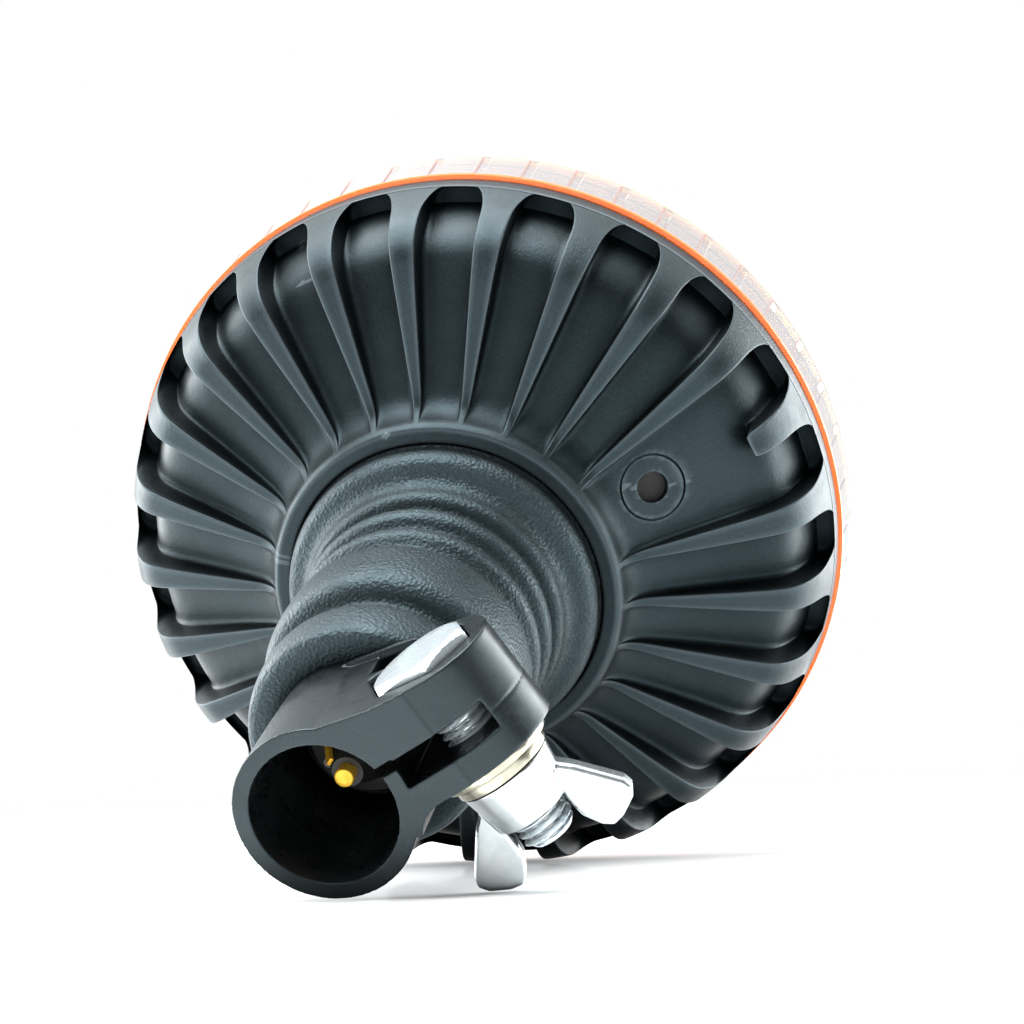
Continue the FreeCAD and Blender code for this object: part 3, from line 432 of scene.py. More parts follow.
def fix(ob, dist=1e-7):
    bm = bmesh.new()
    bm.from_mesh(ob.data)
    bmesh.ops.remove_doubles(bm, verts=bm.verts, dist=dist)
    bmesh.ops.dissolve_degenerate(bm, edges=bm.edges, dist=dist)
    loose = [v for v in bm.verts if not v.link_faces]
    bmesh.ops.delete(bm, geom=loose, context="VERTS")
    bmesh.ops.recalc_face_normals(bm, faces=bm.faces)
    bm.to_mesh(ob.data)
    bm.free()
    ob.data.update()
    return ob


def apply_all(ob):
    dg = bpy.context.evaluated_depsgraph_get()
    dg.update()
    me = bpy.data.meshes.new_from_object(ob.evaluated_get(dg), preserve_all_data_layers=True, depsgraph=dg)
    old = ob.data
    ob.modifiers.clear()
    ob.data = me
    if old.users == 0:
        bpy.data.meshes.remove(old)
    return ob


def turn_y(ob, x, z, y=0.0):
    """Turns a lathe made about Z so its axis runs along +Y through (x, ., z)."""
    m = Matrix(((1, 0, 0, x * MM), (0, 0, 1, y * MM), (0, -1, 0, z * MM), (0, 0, 0, 1)))
    ob.data.transform(m)
    ob.data.update()
    return ob


def bevel(ob, width, segs=3, angle=35.0):
    b = ob.modifiers.new("bevel", "BEVEL")
    b.width, b.segments = width * MM, segs
    b.limit_method = "ANGLE"
    b.angle_limit = math.radians(angle)
    b.harden_normals = False
    b.use_clamp_overlap = True
    return apply_all(ob)


def join(a, *others):
    bm = bmesh.new()
    bm.from_mesh(a.data)
    for o in others:
        bm.from_mesh(o.data)
    bm.to_mesh(a.data)
    bm.free()
    for o in others:
        me = o.data
        bpy.data.objects.remove(o)
        bpy.data.meshes.remove(me)
    return a


def soften(node, name, mat, voxel, rounds, keep, factor=0.5):
    """Copy of a CAD shape as an evenly rounded moulding or casting."""
    src = NODES[node]
    me = src.data.copy()
    ob = bpy.data.objects.new(name, me)
    SCENE.collection.objects.link(ob)
    me.materials.clear()
    me.materials.append(mat)
    fix(ob, 2e-6)
    r = ob.modifiers.new("remesh", "REMESH")
    r.mode = "VOXEL"
    r.voxel_size = voxel * MM
    r.adaptivity = 0.0
    s = ob.modifiers.new("smooth", "SMOOTH")
    s.factor, s.iterations = factor, rounds
    if keep < 1.0:
        d = ob.modifiers.new("decimate", "DECIMATE")
        d.ratio = keep
    apply_all(ob)
    ob.data.materials.clear()
    ob.data.materials.append(mat)
    ob.data.polygons.foreach_set("material_index", [0] * len(ob.data.polygons))
    ob.data.polygons.foreach_set("use_smooth", [True] * len(ob.data.polygons))
    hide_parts(node)
    return ob


# ================================================================ base housing
COLLAR_Z, COLLAR_R_IN, SEAT_Z, RIM_Z, RIM_R = 91.4, 32.25, 97.0, 127.5, 77.55
PITCH, A0, SKIRT_R, TROUGH_Z, HUB_TOP = 14.4, 9.8, 76.95, 124.8, 101.5
ENV = [(35.3, COLLAR_Z), (36.0, 92.4), (36.7, 93.8), (37.9, 95.6), (39.6, 96.9), (42.0, 97.8), (46.0, 98.8), (50.0, 99.8), (55.0, 101.1),
       (60.0, 102.4), (65.0, 103.9), (68.3, 105.3), (70.9, 107.6), (72.8, 110.4), (74.2, 113.4), (75.3, 116.6), (76.25, 120.0),
       (77.0, 123.0), (RIM_R, RIM_Z - 0.9)]
FLOOR = [(36.2, 92.8), (37.4, 96.4), (39.6, 98.9), (43.0, 100.9), (48.0, 103.3), (53.0, 105.4), (58.0, 107.5), (62.0, 109.2),
         (65.3, 110.9), (68.0, 113.2), (69.8, 116.0), (71.2, 119.2), (72.4, 122.2), (73.2, TROUGH_Z)]
STUB_R = 66.8


def housing():
    env = spline(ENV, 900)
    flo = spline(FLOOR, 700)
    er = np.maximum.accumulate(env[:, 0] + np.arange(len(env)) * 1e-9)
    fr = np.maximum.accumulate(flo[:, 0] + np.arange(len(flo)) * 1e-9)

    def ez(r):
        return float(np.interp(r, er, env[:, 1]))

    def fz(r):
        e = ez(r)
        if r <= 36.3:
            return e
        f = float(np.interp(r, fr, flo[:, 1])) if r < 73.2 else TROUGH_Z
        return max(f, e)

    rc, r1 = 3.0, SKIRT_R
    rows = [35.55, 35.8, 36.05, 36.3, 36.55, 36.8, 37.1, 37.5, 38.0, 38.6, 39.3, 40.1, 41.0, 42.0]
    rows += list(np.arange(43.2, 65.0, 1.25))
    rows += [65.4, 65.9, 66.15, 66.35, 66.5, 66.62, 66.72, 66.82, 66.95, 67.15, 67.5, 67.9, 68.4, 68.9, 69.4, 69.9, 70.35, 70.8, 71.2, 71.6,
             72.0, 72.4, 72.8, 73.15, 73.35, 73.65]
    rows += [r1 - rc + rc * math.sin(math.radians(p)) for p in (0, 7, 14, 21, 28, 36, 44, 52, 60, 68, 76, 83)]
    rows += [r1 - 0.012]
    RE, RF = 0.42, 1.25
    phis = (0.0, 30.0, 60.0, 90.0)

    def grow(z):
        return 0.45 - 1.2 * (z - 78.0) / (TROUGH_Z - 78.0)

    def side(r, z, half):
        """Half angle of the pocket's wall in radians at radius r and height z."""
        t = 1.5 + 3.8 * (r - 37.0) / 38.0
        off = t / 2.0 - grow(z)
        if r <= r1 - rc:
            return math.radians(half) - math.asin(min(0.9, off / r))
        rr = min(r, r1)
        c = rc - math.sqrt(max(0.0, rc * rc - (rr - (r1 - rc)) ** 2))
        return math.radians(half) - (off + c) / r

    def half_pocket(r, half, n_floor, top=None, thin=0.0):
        """(angle from the pocket centre, z) from the fin's middle to the pocket's middle."""
        e, f = ez(r), fz(r)
        if top is not None:
            e = f + (e - f) * top
        depth = f - e
        re, rf = min(RE, 0.45 * depth), min(RF, 0.5 * depth)
        fin = math.radians(half)
        slim = min(thin, 0.55 * max(0.0, (fin - side(r, e, half)) * r))
        a_top = side(r, e, half) + slim / r
        a_bot = min(side(r, f, half) + slim / r, a_top - 0.02 / r)
        out = []
        edge_a = a_top + RE / r
        if edge_a > fin - 0.05 / r:
            edge_a = fin - 0.05 / r
        out.append((fin, e))
        out.append(((fin + edge_a) / 2, e))
        for p in phis:
            s, c = math.sin(math.radians(p)), math.cos(math.radians(p))
            out.append((a_top + (edge_a - a_top) * (1 - s), e + re * (1 - c)))
        za, zb = e + re, f - rf
        for k in (1 / 3, 2 / 3):
            out.append((a_top + (a_bot - a_top) * k, za + (zb - za) * k))
        rw = min(RF, 0.42 * a_bot * r)
        for p in phis:
            s, c = math.sin(math.radians(p)), math.cos(math.radians(p))
            out.append((a_bot - rw * (1 - c) / r, zb + rf * s))
        a_f = a_bot - rw / r
        for k in range(1, n_floor + 1):
            out.append((a_f * (1 - k / n_floor), f))
        return out

    def full_row(r, override=None):
        ang, zz = [], []

        def add(seq, centre, sign, skip_first, skip_last):
            s = seq if not skip_first else seq[1:]
            s = s if not skip_last else s[:-1]
            for a, z in s:
                ang.append(centre + sign * a)
                zz.append(z)

        for k in range(25):
            c = math.radians(A0 + PITCH * (k + 0.5))
            left_top = right_top = None
            lt = rt = 0.0
            half_l = half_r = PITCH / 2
            if k == 0 or k == 24:
                d = (r - 66.72) / 0.62
                top = 0.0 if d < -0.5 else 1.0 if d > 0.5 else (lambda q: q * q * (3 - 2 * q))(d + 0.5)
                top = max(top, 0.0)
                thin = 0.0
                if r < 68.2:
                    q = min(1.0, max(0.0, (r - 66.35) / 1.85))
                    thin = 2.0 * (1 - math.sqrt(max(0.0, 1 - (1 - q) ** 2)))
                if k == 0:
                    left_top, lt = top, thin
                else:
                    right_top, rt = top, thin
            L = half_pocket(r, half_l, 5, left_top, lt)
            R = half_pocket(r, half_r, 5, right_top, rt)
            add(L, c, -1, False, False)
            add(list(reversed(R)), c, 1, True, True)
        return np.array(ang), np.array(zz)

    V, ncol = [], None
    # rounded edge of the collar ring before the first row
    a1, _ = full_row(rows[0])
    for r, z in ((32.25, 91.9), (32.33, 91.62), (32.55, 91.44), (32.9, COLLAR_Z), (34.3, COLLAR_Z), (34.8, 91.40), (35.1, 91.44), (35.35, 91.6)):
        V.append(np.stack([r * np.cos(a1), r * np.sin(a1), 0 * a1 + z], -1))
    for r in rows:
        a, z = full_row(r)
        V.append(np.stack([r * np.cos(a), r * np.sin(a), z], -1))
    a_last = a
    e1 = ez(r1)
    for r, z in ((r1 + 0.0, e1 + 0.25), (r1 + 0.06, e1 + 0.08), (r1 + 0.16, ez(r1 + 0.16))):
        V.append(np.stack([r * np.cos(a_last), r * np.sin(a_last), 0 * a_last + z], -1))
    # keep the fins' ends on the envelope where the skirt edge starts
    on_fin = z < e1 + 0.6
    V[-3][on_fin, 2] = ez(r1 - 0.006)
    V[-2][on_fin, 2] = ez(r1 + 0.06)
    tail = [(77.2, ez(77.2)), (77.3, ez(77.3)), (77.42, ez(77.42)), (77.5, ez(77.5)), (77.55, 126.7), (77.52, 127.1), (77.36, 127.4), (77.05, RIM_Z),
            (75.05, RIM_Z), (75.0, 127.55), (75.0, 130.3), (74.7, 130.6), (70.7, 130.6), (70.4, 130.3), (70.4, 128.4), (67.65, 128.4),
            (67.6, 128.35), (67.6, 125.0), (66.2, 125.0), (66.2, 118.0), (64.0, 114.6), (60.0, 112.0), (53.0, 109.2), (43.0, 104.9),
            (38.5, 102.6), (34.0, HUB_TOP), (20.0, HUB_TOP), (9.0, HUB_TOP), (9.0, SEAT_Z), (20.0, SEAT_Z), (COLLAR_R_IN, SEAT_Z), (COLLAR_R_IN, 93.0)]
    for r, z in tail:
        V.append(np.stack([r * np.cos(a_last), r * np.sin(a_last), 0 * a_last + z], -1))
    ncol = len(a_last)
    nrow = len(V)
    ob = make("base_housing_shell", np.concatenate(V), grid_faces(nrow, ncol, True, True), M["housing_black"])
    fix(ob, 1e-9)
    return ob


def cut(ob, *tools, solver="EXACT"):
    for t in tools:
        b = ob.modifiers.new("cut", "BOOLEAN")
        b.operation = "DIFFERENCE"
        b.object = t
        b.solver = solver
        t.hide_render = True
    apply_all(ob)
    for t in tools:
        me = t.data
        bpy.data.objects.remove(t)
        bpy.data.meshes.remove(me)
    return ob


def aim(ob, foot, direction):
    """Turns a lathe made about Z so that its axis runs along direction through foot."""
    q = Vector((0, 0, 1)).rotation_difference(Vector(direction).normalized())
    ob.data.transform(Matrix.Translation(Vector(foot) * MM) @ q.to_matrix().to_4x4())
    ob.data.update()
    return ob


shell = housing()
_ax = Vector((45.5, 6.95, 0)).normalized()
BOSS_DIR = Vector((_ax.x * 0.47, _ax.y * 0.47, -1)).normalized()
BOSS_FOOT = Vector((45.5, 6.95, 102.36))
ring = aim(lathe("ring_tool", [(6.40, -0.45), (6.85, -0.45), (6.95, 3.0), (6.28, 3.0)], None, 96), BOSS_FOOT, BOSS_DIR)
hole = aim(lathe("hole_tool", [(0.0001, -9.0), (3.15, -9.0), (3.15, -0.15), (3.4, 0.12), (3.45, 3.0), (0.0001, 3.0)], None, 64), BOSS_FOOT, BOSS_DIR)
cut(shell, ring, hole, solver="MANIFOLD")
smooth_by_angle(shell, 50.0)
even = shell.modifiers.new("even_normals", "WEIGHTED_NORMAL")
even.keep_sharp = True
even.weight = 50
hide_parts("base_housing")
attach(shell, "head")
pillars = []
for k in range(4):
    t = math.radians(45 + 90 * k)
    p = lathe("pillar_%d" % k, [(1.25, 110.8), (1.25, 124.75), (1.5, 125.0), (3.9, 125.0), (4.2, 124.7), (4.35, 111.5), (4.4, 110.6)], M["housing_black"], 48)
    p.data.transform(Matrix.Translation(Vector((59.0 * math.cos(t), 59.0 * math.sin(t), 0)) * MM))
    pillars.append(p)
pillar = join(*pillars)
pillar.name = "housing_screw_pillars"
smooth_by_angle(pillar, 35.0)
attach(pillar, "head")

# ================================================================ flexible boot
BOOT_OUT = [(19.4, 25.4), (20.6, 26.2), (21.4, 28.2), (21.8, 31.5), (21.7, 35.0), (20.8, 37.4), (19.6, 39.2), (19.8, 40.8),
            (21.8, 42.2), (23.2, 43.6), (24.0, 46.0), (24.3, 50.0), (24.3, 54.5), (23.9, 57.6), (22.7, 59.6), (22.0, 60.8),
            (22.6, 62.2), (23.9, 63.8), (24.2, 65.4), (23.5, 67.3), (22.3, 68.8), (22.6, 70.2), (24.2, 71.6), (24.9, 73.2),
            (24.6, 75.0), (23.3, 76.4), (23.5, 77.6), (25.3, 78.8), (26.1, 80.2), (26.3, 81.8), (26.9, 83.4), (28.2, 84.6),
            (30.2, 85.6), (31.3, 87.0), (31.7, 88.9), (31.7, 91.0), (32.2, 91.9)]
BOOT_IN = [(28.0, 90.9), (28.0, 87.6), (26.6, 86.4), (23.6, 83.6), (22.6, 80.6), (21.0, 77.6), (21.0, 75.6), (21.2, 73.4),
           (20.6, 71.2), (20.0, 69.4), (20.4, 67.0), (20.4, 64.4), (19.8, 62.0), (19.7, 60.4), (20.3, 58.6), (20.65, 57.3),
           (20.65, 43.9), (18.4, 42.6), (17.3, 40.4), (16.8, 38.4), (16.6, 36.6), (15.45, 36.0), (15.45, 25.4)]
SPLIT_Z = 51.0


def boot():
    o = spline(BOOT_OUT, 260)
    lo = o[o[:, 1] < SPLIT_Z - 0.05]
    hi = o[o[:, 1] > SPLIT_Z + 0.05]
    ro = float(np.interp(SPLIT_Z, o[:, 1], o[:, 0]))
    inner = np.array(BOOT_IN)
    in_hi = [p for p in inner if p[1] > SPLIT_Z]
    in_lo = [p for p in inner if p[1] < SPLIT_Z]
    low = list(lo) + [(ro, SPLIT_Z), (20.65, SPLIT_Z)] + in_lo
    high = [(ro, SPLIT_Z)] + list(hi) + [(32.2, SEAT_Z - 0.02), (14.2, SEAT_Z - 0.02), (14.2, 94.2), (28.0, 94.2)] + in_hi + [(20.65, SPLIT_Z)]
    res = []
    for name, loop in (("flex_boot_lower", low), ("flex_boot_upper", high)):
        ob = lathe(name, loop, M["boot_rubber"], 180)
        smooth_by_angle(ob, 50.0)
        res.append(ob)
    return res


boot_low, boot_high = boot()
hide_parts("flex_boot")
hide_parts("flex_boot")
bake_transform(boot_low)
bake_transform(boot_high)

# ---------------------------------------------------------------- leads
LEAD_A = [(0, 0, 41.1), (0, 0, 46.0), (0.8, 1.0, 56.0), (2.8, 2.4, 68.0), (2.8, 3.1, 80.0), (2.6, 3.2, 90.0), (2.6, 3.2, 97.0), (2.6, 3.2, 103.5),
          (4.0, 3.4, 107.5), (9.6, 4.4, 109.2), (14.4, 4.9, 109.4), (16.6, 5.0, 111.0), (17.0, 5.0, 112.8), (17.0, 5.0, 114.5)]
LEAD_B = [(-3.8, -8.16, 38.2), (-3.8, -8.16, 40.2), (-3.2, -6.0, 44.5), (-2.4, -3.8, 48.6), (-2.3, -3.2, 54.0), (-2.6, -3.2, 62.0), (-2.6, -3.2, 74.0),
          (-2.6, -3.2, 90.0), (-2.6, -3.2, 97.0), (-2.6, -3.2, 103.5), (-1.0, -3.6, 107.5), (7.0, -4.6, 109.2), (14.2, -4.9, 109.4), (16.6, -5.0, 111.0),
          (17.0, -5.0, 112.8), (17.0, -5.0, 114.5)]


def tube(name, path, r, mat, cols=20):
    path = np.asarray(path, float)
    tan = np.gradient(path, axis=0)
    tan /= np.linalg.norm(tan, axis=1)[:, None]
    ref = np.array([1.0, 0.0, 0.0])
    verts = []
    for p, t in zip(path, tan):
        u = ref - t * (ref @ t)
        u /= np.linalg.norm(u)
        ref = u
        w = np.cross(t, u)
        a = np.arange(cols) * 2 * np.pi / cols
        verts.append(p + r * (np.cos(a)[:, None] * u + np.sin(a)[:, None] * w))
    v = np.concatenate(verts + [path[:1], path[-1:]])
    f = [tuple(q) for q in grid_faces(len(path), cols, False, True)]
    c0, c1 = len(path) * cols, len(path) * cols + 1
    f += [(c0, (j + 1) % cols, j) for j in range(cols)]
    b = (len(path) - 1) * cols
    f += [(c1, b + j, b + (j + 1) % cols) for j in range(cols)]
    ob = make(name, v, f, mat)
    fix(ob, 1e-9)
    return smooth_by_angle(ob, 60.0)


for node, pts, mat, slot in (("lead_live", LEAD_A, M["wire_red"], "wire_red"), ("lead_ground", LEAD_B, M["wire_black"], "wire_black")):
    line = spline(pts, 220)
    low = line[line[:, 2] < SPLIT_Z]
    high = line[line[:, 2] >= SPLIT_Z]
    mid = (low[-1] + high[0]) / 2
    a = tube(node + "_lower", np.vstack([low, mid]), 1.05, mat)
    b = tube(node + "_upper", np.vstack([mid, high]), 1.05, mat)
    for o in (a, b):
        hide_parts(node)
    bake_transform(a)
    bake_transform(b)

# ================================================================ lens
LENS_R0, LENS_R1, LENS_Z1, LENS_TOP = 78.5, 79.8, 140.5, 172.6
FACETS = 50
LENS_OUT = [(LENS_R1, LENS_Z1), (79.75, 141.4), (79.5, 142.3), (79.0, 143.3), (78.4, 145.6), (77.2, 150.2), (75.5, 156.0), (73.2, 162.0), (70.4, 166.4),
            (66.2, 169.3), (60.0, 170.9), (45.0, 172.0), (25.0, 172.5), (0.0, LENS_TOP)]
LENS_IN = [(0.0, 170.2), (25.0, 170.1), (45.0, 169.6), (59.6, 168.5), (65.0, 167.1), (68.5, 164.6), (71.0, 160.8), (73.1, 155.4), (74.8, 149.6),
           (76.1, 145.0), (76.4, 142.4)]


def lens():
    dome = spline(LENS_OUT, 90)
    inner = spline(LENS_IN, 60)
    # columns: per facet a wide panel and a narrow recessed strip with steps
    offs, rec = [], []
    pitch = 360.0 / FACETS
    for k in range(FACETS):
        s = A0 + 1.35 + k * pitch
        for a, d in ((0.0, 0.0), (0.22, 1.0), (0.5, 1.0), (1.0, 1.0), (1.28, 1.0), (1.5, 0.0), (2.4, 0.0), (3.4, 0.0), (4.4, 0.0), (5.4, 0.0), (6.3, 0.0)):
            offs.append(s + a)
            rec.append(d)
    a = np.radians(np.array(offs))
    rec = np.array(rec)
    n = len(a)
    V = []

    def row(r, z, depth=0.0):
        rr = r - rec * depth
        V.append(np.stack([rr * np.cos(a), rr * np.sin(a), z + 0 * a], -1))

    row(76.1, RIM_Z + 0.05)
    row(76.4, RIM_Z + 0.02)
    row(LENS_R0 - 0.4, RIM_Z + 0.02)
    row(LENS_R0 - 0.1, RIM_Z + 0.10)
    row(LENS_R0, RIM_Z + 0.35)
    row(LENS_R0 + 0.02, 128.65)
    row(LENS_R0 + 0.02, 128.9, 0.02)
    row(LENS_R0 + 0.04, 129.05, 0.32)
    for k in range(1, 9):
        t = k / 8.0
        row(LENS_R0 + (LENS_R1 - LENS_R0) * t, 129.05 + (LENS_Z1 - 129.05) * t, 0.32 * min(1.0, 2.6 * (1.0 - t)))
    row(LENS_R1 - 0.01, LENS_Z1 + 0.45)
    row(LENS_R1 - 0.03, LENS_Z1 + 0.80)
    for r, z in dome[2:-1]:
        if z > LENS_Z1 + 0.9:
            row(max(r, 0.05), z)
    top = len(V)
    row(0.02, LENS_TOP)
    row(0.02, 170.2)
    for r, z in inner[1:]:
        row(max(r, 0.05), z)
    # fine prisms moulded round the inside of the wall
    z = 141.6
    while z > 129.2:
        row(76.35, z)
        row(76.85, z - 0.25)
        row(76.80, z - 1.15)
        row(76.35, z - 1.75)
        z -= 1.95
    row(76.2, 128.9)
    verts = np.concatenate(V)
    ob = make("lens_faceted", verts, grid_faces(len(V), n, True, True), M["amber"])
    fix(ob, 2e-5)
    smooth_by_angle(ob, 22.0)
    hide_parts("lens")
    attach(ob, "head")
    return ob


lens_ob = lens()

# ================================================================ clamp socket
socket_ob = soften("clamp_socket", "clamp_socket_moulded", M["socket_black"], 0.21, 8, 0.60)
even = socket_ob.modifiers.new("even_normals", "WEIGHTED_NORMAL")
even.keep_sharp = True
even.weight = 60
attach(socket_ob, "socket")

# ---------------------------------------------------------------- clamp bolt
BX, BZ = 24.3, 12.8


def thread(name, r_major, pitch, y0, y1, mat, chamfer=1.4, cols=96, per=10):
    """Closed threaded rod along Z, both ends capped, from y0 to y1."""
    depth = 0.60 * pitch
    n = int((y1 - y0) / pitch * per)
    z = np.linspace(y0, y1, n)
    a = np.arange(cols) * 2 * np.pi / cols
    Z, A = np.meshgrid(z, a, indexing="ij")
    ph = ((Z - y0) / pitch - A / (2 * np.pi)) % 1.0
    tri = np.abs(ph - 0.5) * 2.0
    prof = np.clip((tri - 0.10) / 0.78, 0, 1)
    R = r_major - depth * (1 - prof)
    R = np.minimum(R, r_major - np.clip(Z - (y1 - chamfer), 0, None) * 0.95)
    verts = np.stack([R * np.cos(A), R * np.sin(A), Z], -1).reshape(-1, 3)
    f = [tuple(q) for q in grid_faces(n, cols, False, True)]
    v = np.concatenate([verts, [[0, 0, y0]], [[0, 0, y1 + 0.0]]])
    c0, c1 = n * cols, n * cols + 1
    f += [(c0, (j + 1) % cols, j) for j in range(cols)]
    b = (n - 1) * cols
    f += [(c1, b + j, b + (j + 1) % cols) for j in range(cols)]
    ob = make(name, v, f, mat)
    fix(ob, 1e-9)
    return smooth_by_angle(ob, 32.0)


def hex_head(name, af, h, turn, mat):
    """Hexagon head from z=0 (seat) down to -h with the usual conical chamfer."""
    cols = 144
    a = np.arange(cols) * 2 * np.pi / cols
    t = (a - math.radians(turn)) % (math.pi / 3) - math.pi / 6
    rh = af / 2 / np.cos(t)
    rh = np.minimum(rh, af / math.sqrt(3) - 0.10)
    V = []
    rc = af / 2 * 0.96
    for z, kind in ((0.0, "seat"), (-0.12, "hex"), (-h * 0.35, "hex"), (-h * 0.6, "hex"), (-h * 0.78, "hex")):
        r = rh - 0.12 if kind == "seat" else rh
        V.append(np.stack([r * np.cos(a), r * np.sin(a), 0 * a + z], -1))
    for k in range(0, 9):
        q = k / 8.0
        lim = rc + (1 - q) * 2.2
        z = -h + (1 - q) * 2.2 * math.tan(math.radians(28))
        r = np.minimum(rh, lim)
        V.append(np.stack([r * np.cos(a), r * np.sin(a), 0 * a + z], -1))
    for r in (rc * 0.985, rc * 0.7, rc * 0.35):
        V.append(np.stack([r * np.cos(a), r * np.sin(a), 0 * a - h - (0.05 if r > rc * 0.9 else 0.06)], -1))
    n = len(V)
    f = [tuple(q) for q in grid_faces(n, cols, False, True)]
    v = np.concatenate(V + [np.array([[0, 0, 0.0]]), np.array([[0, 0, -h - 0.06]])])
    c0, c1 = n * cols, n * cols + 1
    f += [(c0, (j + 1) % cols, j) for j in range(cols)]
    b = (n - 1) * cols
    f += [(c1, b + j, b + (j + 1) % cols) for j in range(cols)]
    ob = make(name, v, f, mat)
    fix(ob, 1e-9)
    return smooth_by_angle(ob, 24.0)


# the lathe helpers turn (x, y, z) into (x, z, -y), so angles run the other way
bolt_head = turn_y(hex_head("clamp_bolt_head", 17.0, 6.24, 6.0, M["zinc"]), BX, BZ, -5.0)
bolt_rod = turn_y(thread("clamp_bolt_thread", 4.98, 1.5, -5.4, 26.6, M["zinc"]), BX, BZ)
bolt = join(bolt_head, bolt_rod)
bolt.name = "clamp_bolt_threaded"
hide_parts("clamp_bolt")
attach(bolt, "socket")

# ---------------------------------------------------------------- washers, nut
EAR_YP, WT, ST = 8.4, 1.8, 2.4
wash = lathe("flat_washer_pressed", [(5.25, 0.2), (5.4, 0.02), (9.95, 0.02), (10.2, 0.2), (10.25, 0.5), (10.25, 1.5), (10.1, 1.74), (9.8, 1.78),
                                     (5.45, 1.78), (5.25, 1.6)], M["zinc_yellow"], 128)
smooth_by_angle(wash, 40.0)
turn_y(wash, BX, BZ, EAR_YP)
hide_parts("flat_washer")
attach(wash, "washers")


def split_washer():
    """Square-section ring with bevelled corners, cut and sprung a little."""
    cols = 150
    a = np.linspace(math.radians(4.0), math.radians(356.0), cols)
    lift = (a / (2 * math.pi)) * 0.30
    sec = [(5.2, 0.12), (5.35, 0.02), (8.5, 0.02), (8.78, 0.25), (8.8, 0.6), (8.8, 1.5), (8.72, 1.9), (8.5, 2.04), (5.35, 2.04), (5.2, 1.9)]
    V = []
    for t, dz in zip(a, lift):
        V.append(np.array([(r * math.cos(t), r * math.sin(t), z + dz) for r, z in sec]))
    k = len(sec)
    f = [tuple(q) for q in grid_faces(cols, k, False, True)]
    f += [tuple(range(k)), tuple((cols - 1) * k + j for j in reversed(range(k)))]
    ob = make("spring_washer_split", np.concatenate(V), f, M["zinc_yellow"])
    fix(ob, 1e-9)
    smooth_by_angle(ob, 35.0)
    ob.data.transform(Matrix.Rotation(math.radians(-55), 4, "Z"))
    return turn_y(ob, BX, BZ, EAR_YP + WT + 0.01)


spr = split_washer()
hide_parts("spring_washer")
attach(spr, "washers")
nut = soften("wing_nut", "wing_nut_cast", M["zinc_cast"], 0.20, 9, 0.5)
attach(nut, "nut")

# ---------------------------------------------------------------- contact parts
pin = lathe("contact_pin_turned", [(0.0001, 12.6), (0.8, 12.6), (1.40, 12.61), (1.56, 12.66), (1.66, 12.76), (1.7, 12.9), (1.7, 14.0), (1.7, 17.8), (2.42, 17.86), (2.5, 17.95),
                                   (2.5, 24.3), (2.35, 24.5), (0.0001, 24.5)], M["brass"], 72)
smooth_by_angle(pin, 40.0)
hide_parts("contact_pin")
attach(pin, "pin")


def coil():
    turns, r, w, z0, z1 = 6, 1.9, 0.28, 24.85, 34.2
    n = 360
    t = np.linspace(0, 1, n)
    ang = t * turns * 2 * np.pi
    # closed, ground ends: the pitch eases to nothing at both ends
    s = np.clip((t - 0.06) / 0.88, 0, 1)
    z = z0 + (z1 - z0) * s
    path = np.stack([r * np.cos(ang), r * np.sin(ang), z], -1)
    return tube("contact_spring_coil", path, w, M["steel"], 12)


cs = coil()
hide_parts("contact_spring")
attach(cs, "socket")
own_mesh(cs)

# ================================================================ CAD nodes that stay
record_slot = {}
for s in frame["record"].get("subparts", []) or []:
    record_slot[s.get("node")] = s.get("material_slot")
for name, ob in NODES.items():
    if ob.hide_render:
        continue
    slot = record_slot.get(name) or (ob.data.materials[0].name if ob.data.materials else "steel")
    m = M.get(slot) or M["steel"]
    ob.data.materials.clear()
    ob.data.materials.append(m)
    ob.data.polygons.foreach_set("material_index", [0] * len(ob.data.polygons))

# ================================================================ stage and light
# the plane on which the beacon rests, on its rim, a wing and the socket mouth
N = Vector((-0.4305, 0.7763, -0.4604)).normalized()
FLOOR_OFF = 0.0139
g = Graph("stage_white")
g.set(Base_Color=g.mix(g.ramp(g.noise(2.0, 3.0), 0.3, 0.7), (0.87, 0.87, 0.87), (0.90, 0.90, 0.90)), Roughness=0.9, Specular_IOR_Level=0.0)
t = g.t
gloss = t.nodes.new("ShaderNodeBsdfGlossy")
gloss.inputs["Roughness"].default_value = 0.03
gloss.inputs["Color"].default_value = (1, 1, 1, 1)
glow = t.nodes.new("ShaderNodeEmission")
glow.inputs["Strength"].default_value = 0.06
add = t.nodes.new("ShaderNodeAddShader")
g.link(g.bsdf.outputs[0], add.inputs[0])
g.link(glow.outputs[0], add.inputs[1])
mx = t.nodes.new("ShaderNodeMixShader")
mx.inputs[0].default_value = 0.16
g.link(add.outputs[0], mx.inputs[1])
g.link(gloss.outputs[0], mx.inputs[2])
tr = t.nodes.new("ShaderNodeBsdfTransparent")
geo = t.nodes.new("ShaderNodeNewGeometry")
mx2 = t.nodes.new("ShaderNodeMixShader")
g.link(geo.outputs["Backfacing"], mx2.inputs[0])
g.link(mx.outputs[0], mx2.inputs[1])
g.link(tr.outputs[0], mx2.inputs[2])
g.link(mx2.outputs[0], g.out.inputs["Surface"])
nf = 9
gx, gy = np.meshgrid(np.linspace(-2.5, 2.5, nf), np.linspace(-2.5, 2.5, nf), indexing="ij")
floor = make("stage_floor", np.stack([gx, gy, gx * 0], -1).reshape(-1, 3), grid_faces(nf, nf, False, False), g.m, True, 1.0)
q = Vector((0, 0, 1)).rotation_difference(-N)
floor.matrix_world = Matrix.Translation(N * FLOOR_OFF) @ q.to_matrix().to_4x4()
bpy.context.view_layer.update()
if (floor.matrix_world.to_3x3() @ floor.data.polygons[0].normal).dot(-N) < 0:
    floor.data.flip_normals()

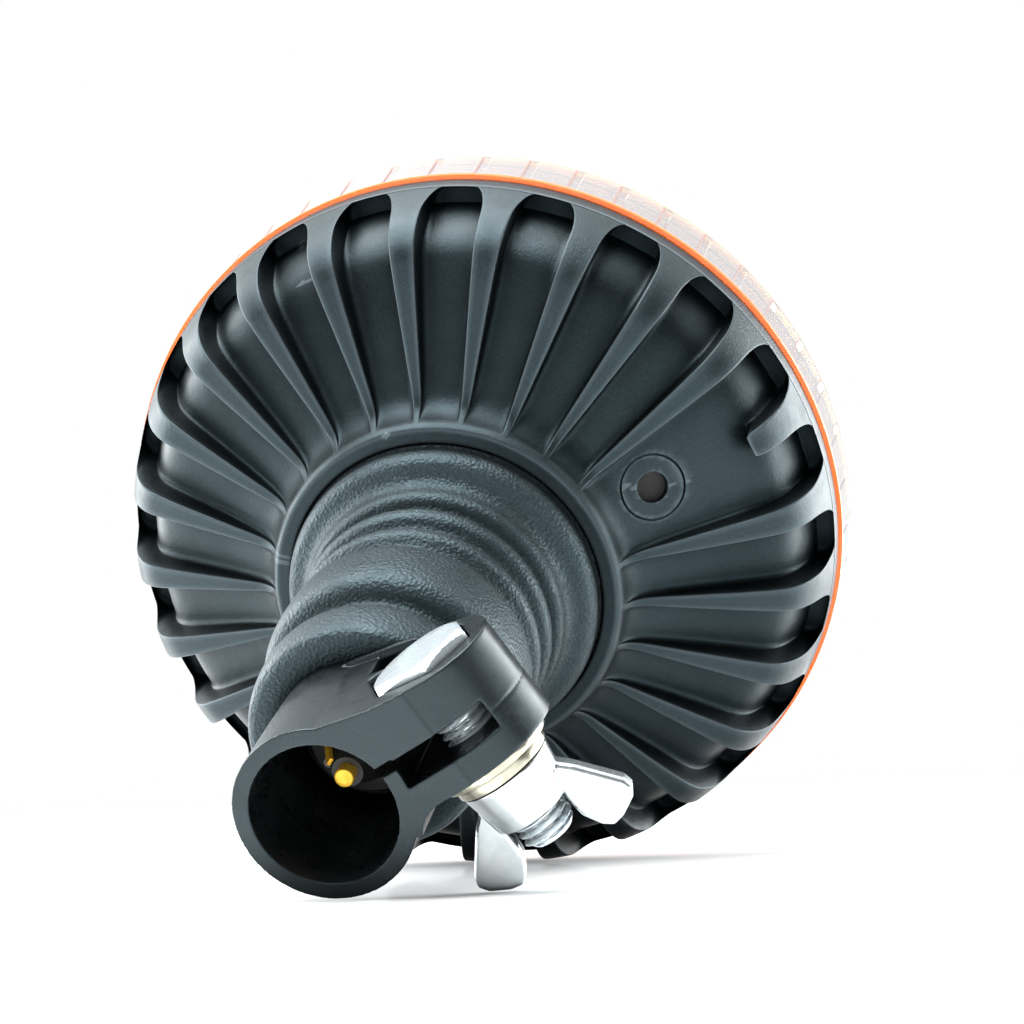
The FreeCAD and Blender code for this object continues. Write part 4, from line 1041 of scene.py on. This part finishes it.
CENTRE = Vector((0.0, 0.0, 0.090))


def softbox(name, offset, size, power, colour=(1, 1, 1), size_y=None):
    d = bpy.data.lights.new(name, "AREA")
    d.shape = "RECTANGLE"
    d.size, d.size_y = size, size_y or size
    d.energy = power
    d.color = colour
    o = bpy.data.objects.new(name, d)
    SCENE.collection.objects.link(o)
    off = RIGHT * offset[0] + UP * offset[1] + BACK * offset[2]
    o.location = CENTRE + off
    o.rotation_mode = "QUATERNION"
    o.rotation_quaternion = (-off).to_track_quat("-Z", "Y")
    return o


softbox("key_top", (-0.20, 0.75, 0.10), 0.8, 15.0)
softbox("rim_left", (-0.75, 0.10, -0.25), 0.7, 13.0, size_y=0.9)
softbox("rim_right", (0.75, 0.05, -0.25), 0.6, 13.0, size_y=0.9)
softbox("front", (-0.10, 0.25, 0.85), 0.8, 0.8)

w = bpy.data.worlds.new("studio")
w.use_nodes = True
SCENE.world = w
wt = w.node_tree
wt.nodes.clear()
wo = wt.nodes.new("ShaderNodeOutputWorld")
b1 = wt.nodes.new("ShaderNodeBackground")
b1.inputs[0].default_value = (1, 1, 1, 1)
b1.inputs[1].default_value = 1.0
b2 = wt.nodes.new("ShaderNodeBackground")
b2.inputs[0].default_value = (0.93, 0.98, 1.0, 1)
wd = wt.nodes.new("ShaderNodeTexCoord")
near = wt.nodes.new("ShaderNodeVectorMath")
near.operation = "DOT_PRODUCT"
near.inputs[1].default_value = tuple(BACK)
high = wt.nodes.new("ShaderNodeVectorMath")
high.operation = "DOT_PRODUCT"
high.inputs[1].default_value = tuple(UP)
wt.links.new(wd.outputs["Generated"], near.inputs[0])
wt.links.new(wd.outputs["Generated"], high.inputs[0])
n1 = wt.nodes.new("ShaderNodeMapRange")
n1.interpolation_type = "SMOOTHSTEP"
for key, val in (("From Min", -0.35), ("From Max", 0.66), ("To Min", 1.45), ("To Max", 0.02)):
    n1.inputs[key].default_value = val
n2 = wt.nodes.new("ShaderNodeMapRange")
for key, val in (("From Min", -0.6), ("From Max", 0.9), ("To Min", 0.55), ("To Max", 1.25)):
    n2.inputs[key].default_value = val
wt.links.new(near.outputs["Value"], n1.inputs["Value"])
wt.links.new(high.outputs["Value"], n2.inputs["Value"])
tent = wt.nodes.new("ShaderNodeMath")
tent.operation = "MULTIPLY"
wt.links.new(n1.outputs[0], tent.inputs[0])
wt.links.new(n2.outputs[0], tent.inputs[1])
wt.links.new(tent.outputs[0], b2.inputs[1])
lp = wt.nodes.new("ShaderNodeLightPath")
mw = wt.nodes.new("ShaderNodeMixShader")
wt.links.new(lp.outputs["Is Camera Ray"], mw.inputs[0])
wt.links.new(b2.outputs[0], mw.inputs[1])
wt.links.new(b1.outputs[0], mw.inputs[2])
wt.links.new(mw.outputs[0], wo.inputs[0])
SCENE.view_settings.view_transform = "Standard"
SCENE.view_settings.look = "None"
SCENE.view_settings.exposure = 0.0
